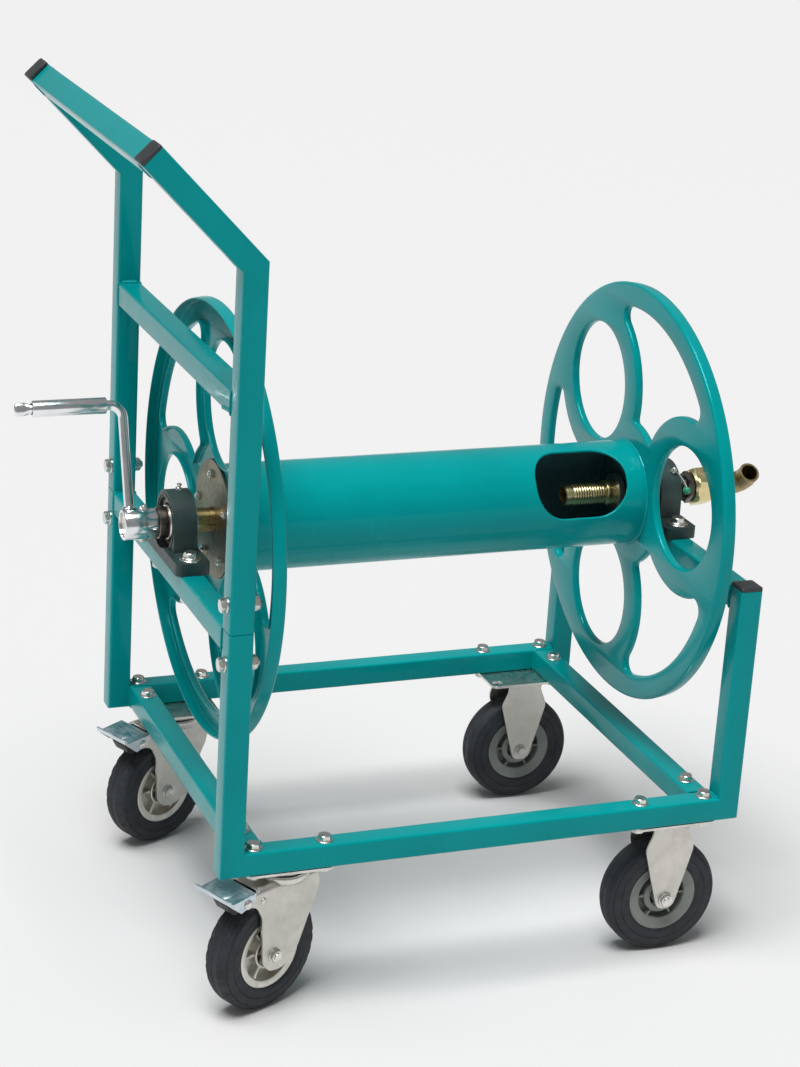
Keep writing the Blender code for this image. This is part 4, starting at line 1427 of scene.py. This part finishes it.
def make_pedal(place, hub, along, axle):
    """The brake pedal bent from sheet, its shoe and its pin."""
    body = f"pedal_{place}"
    # The pedal, its ribs and its boss are zinc with a blue tint that is a painted reflection.
    upper = [(56, -11.5), (62, -12.1), (86, -15.0), (89.0, -13.2), (90.4, -9.9)]
    lower = [(92.5, -10.2), (92.2, -14.4), (88.8, -17.3), (62, -14.3), (56, -13.7)]
    strip = round_corners(upper + lower, [0.3, 3, 6, 3, 0.8, 0.8, 4, 4, 3, 0.3], 5)
    plate = Shape().slab(strip, [], -25.3, 25.3, hub, along, Z_DIR, axle).done(
        f"pedal_plate_{place}", body, "zinc_painted_blue_sheen", (f"brake_pedal_{place}",)
    )
    cheek = round_corners(
        [(56.5, -12.2), (62, -12.6), (88.4, -15.9), (88.2, -18.0), (84.0, -21.2), (75, -28.3),
         (69.5, -26.3), (61, -25.4), (57, -20)],
        [0.2, 2, 1, 2, 4, 1.5, 3, 4, 3], 5,
    )
    for low, high in ((23.4, 25.25), (-25.25, -23.4)):
        join(plate, Shape().slab(cheek, [], low, high, hub, along, Z_DIR, axle))
    finish_cut(plate, "zinc_painted_blue_sheen", 0.55)
    for k, u in enumerate((64.0, 69.5)):
        z = -12.35 - (u - 62) * 0.121
        rib = [(-1.1, -0.5), (-0.6, 0.5), (0.6, 0.5), (1.1, -0.5)]
        spot = hub + along * u + Z_DIR * z
        Shape().slab(rib, [], -20, 20, spot, along, Z_DIR, axle).done(
            f"pedal_rib_{place}_{k}", body, "zinc_painted_blue_sheen", bevel=0.35
        )
    dome = [(0.4, 0.9), (5.0, 0.8), (9.0, 0.5), (12.0, 0.0), (12.6, -0.6), (0.4, -0.6)]
    tilt = (along * 0.12 + Z_DIR).normalized()
    Shape().lathe(dome, hub + along * 78.5 - Z_DIR * 14.1, tilt, 40).done(
        f"pedal_boss_{place}", body, "zinc_painted_blue_sheen", angle=50
    )
    shoe = round_corners(
        [(64, -15.2), (80.5, -17.0), (80.5, -25), (75, -34.6), (68.5, -38.2), (63.5, -30)],
        [1, 1, 4, 5, 3, 5], 5,
    )
    Shape().slab(shoe, [], -11, 11, hub, along, Z_DIR, axle).done(
        f"brake_shoe_{place}", body, "shoe", bevel=0.9
    )
    pivot = hub + along * 66 - Z_DIR * 21
    shape = Shape().rod(rounds(24, (3, -25.6), (3, 25.6)), pivot, axle)
    for s in (-1, 1):
        steps = rounds(28, (5.0, 25.4), (4.9, 26.4), (3.8, 27.4), (1.4, 27.9))
        shape.rod(steps, pivot, axle * s)
    shape.done(f"pedal_pin_{place}", body, "bolt", angle=40)


def make_fixed(place, y):
    """A fixed caster in a pressed bracket."""
    hub = Vector((FIXED_X, y, 0))
    centre = hub - Z_DIR * DROP
    make_plate(f"fixed_plate_{place}", hub, (f"caster_bracket_{place}",))
    side = [(23.5, -2.0), (-23.5, -2.0), (-20, -12), (-28.7, -33), (-20, -66), (-12.6, -92),
            (-9, -104), (9, -104), (12.6, -92), (20, -66), (28.7, -33), (20, -12)]
    radii = [0, 0, 10, 17, 40, 16, 9, 9, 16, 40, 17, 10]
    outline = round_corners(side, radii, 7)
    section = round_corners(
        [(-21.6, -125), (-21.6, -3.5), (21.6, -3.5), (21.6, -125)], [0, 6.5, 6.5, 0], 6
    )
    section += round_corners(
        [(19, -125), (19, -6.1), (-19, -6.1), (-19, -125)], [0, 4, 4, 0], 6
    )
    pressed(f"bracket_legs_{place}", "frame", hub, X_DIR, Y_DIR, section, outline)
    make_wheel(place, centre, Y_DIR, False)
    axle_bolt(place, centre, Y_DIR, "frame", place == "front_right")
    rail = {"front_right": lambda v: v, "back_right": lambda v: DEPTH - v}[place]
    rail_bolts(place, [(540.5, rail(12.5)), (465.5, rail(12.5)), (540.5, rail(53.5))])


# ---------------------------------------------------------------- staging


def make_stage():
    """Pale floor, even sky and one soft overhead light."""
    scene = bpy.context.scene
    scene.view_settings.view_transform = "Standard"
    scene.view_settings.look = "None"
    floor_material = bpy.data.materials.new("studio_floor")
    floor_material.use_nodes = True
    shader = floor_material.node_tree.nodes["Principled BSDF"]
    shader.inputs["Base Color"].default_value = (0.62, 0.62, 0.62, 1)
    shader.inputs["Roughness"].default_value = 0.85
    mesh = bpy.data.meshes.new("studio_floor")
    mesh.from_pydata(
        [(-90, -90, 0), (90, -90, 0), (90, 90, 0), (-90, 90, 0)], [], [(0, 1, 2, 3)]
    )
    mesh.materials.append(floor_material)
    floor = bpy.data.objects.new("studio_floor", mesh)
    floor.location.z = -0.0004
    scene.collection.objects.link(floor)
    sky = bpy.data.worlds.new("studio")
    sky.use_nodes = True
    sky.node_tree.nodes["Background"].inputs["Color"].default_value = (1.0, 1.0, 1.0, 1)
    sky.node_tree.nodes["Background"].inputs["Strength"].default_value = 0.25
    scene.world = sky
    data = bpy.data.lights.new("overhead_light", "SUN")
    data.energy = 3.9
    data.angle = math.radians(34)
    lamp = bpy.data.objects.new("overhead_light", data)
    lamp.location = (0, 0, 3)
    lamp.rotation_euler = Vector((0.24, 0.16, -1.0)).to_track_quat("-Z", "Y").to_euler()
    scene.collection.objects.link(lamp)


def make_camera():
    """The camera at the photograph's angle and distance."""
    data = bpy.data.cameras.new("camera")
    data.sensor_width = 36.0
    data.lens = 85.165
    data.clip_start, data.clip_end = 0.05, 60
    camera = bpy.data.objects.new("camera", data)
    right = Vector((0.932907, -0.355233, 0.059108))
    down = Vector((-0.066848, -0.332109, -0.940869))
    ahead = Vector((0.353858, 0.873792, -0.333574))
    turn = Matrix((right, -down, -ahead)).transposed()
    camera.matrix_world = Matrix.Translation(
        world((-694.57, -2131.14, 1166.98))
    ) @ turn.to_4x4()
    bpy.context.scene.collection.objects.link(camera)
    bpy.context.scene.camera = camera


make_camera()
make_frame()
make_reel()
make_bearings()
make_crank()
make_inlet()
make_swivel("front_left", CASTER_Y)
make_swivel("back_left", DEPTH - CASTER_Y)
make_fixed("front_right", CASTER_Y)
make_fixed("back_right", DEPTH - CASTER_Y)
make_stage()

bpy.context.view_layer.update()
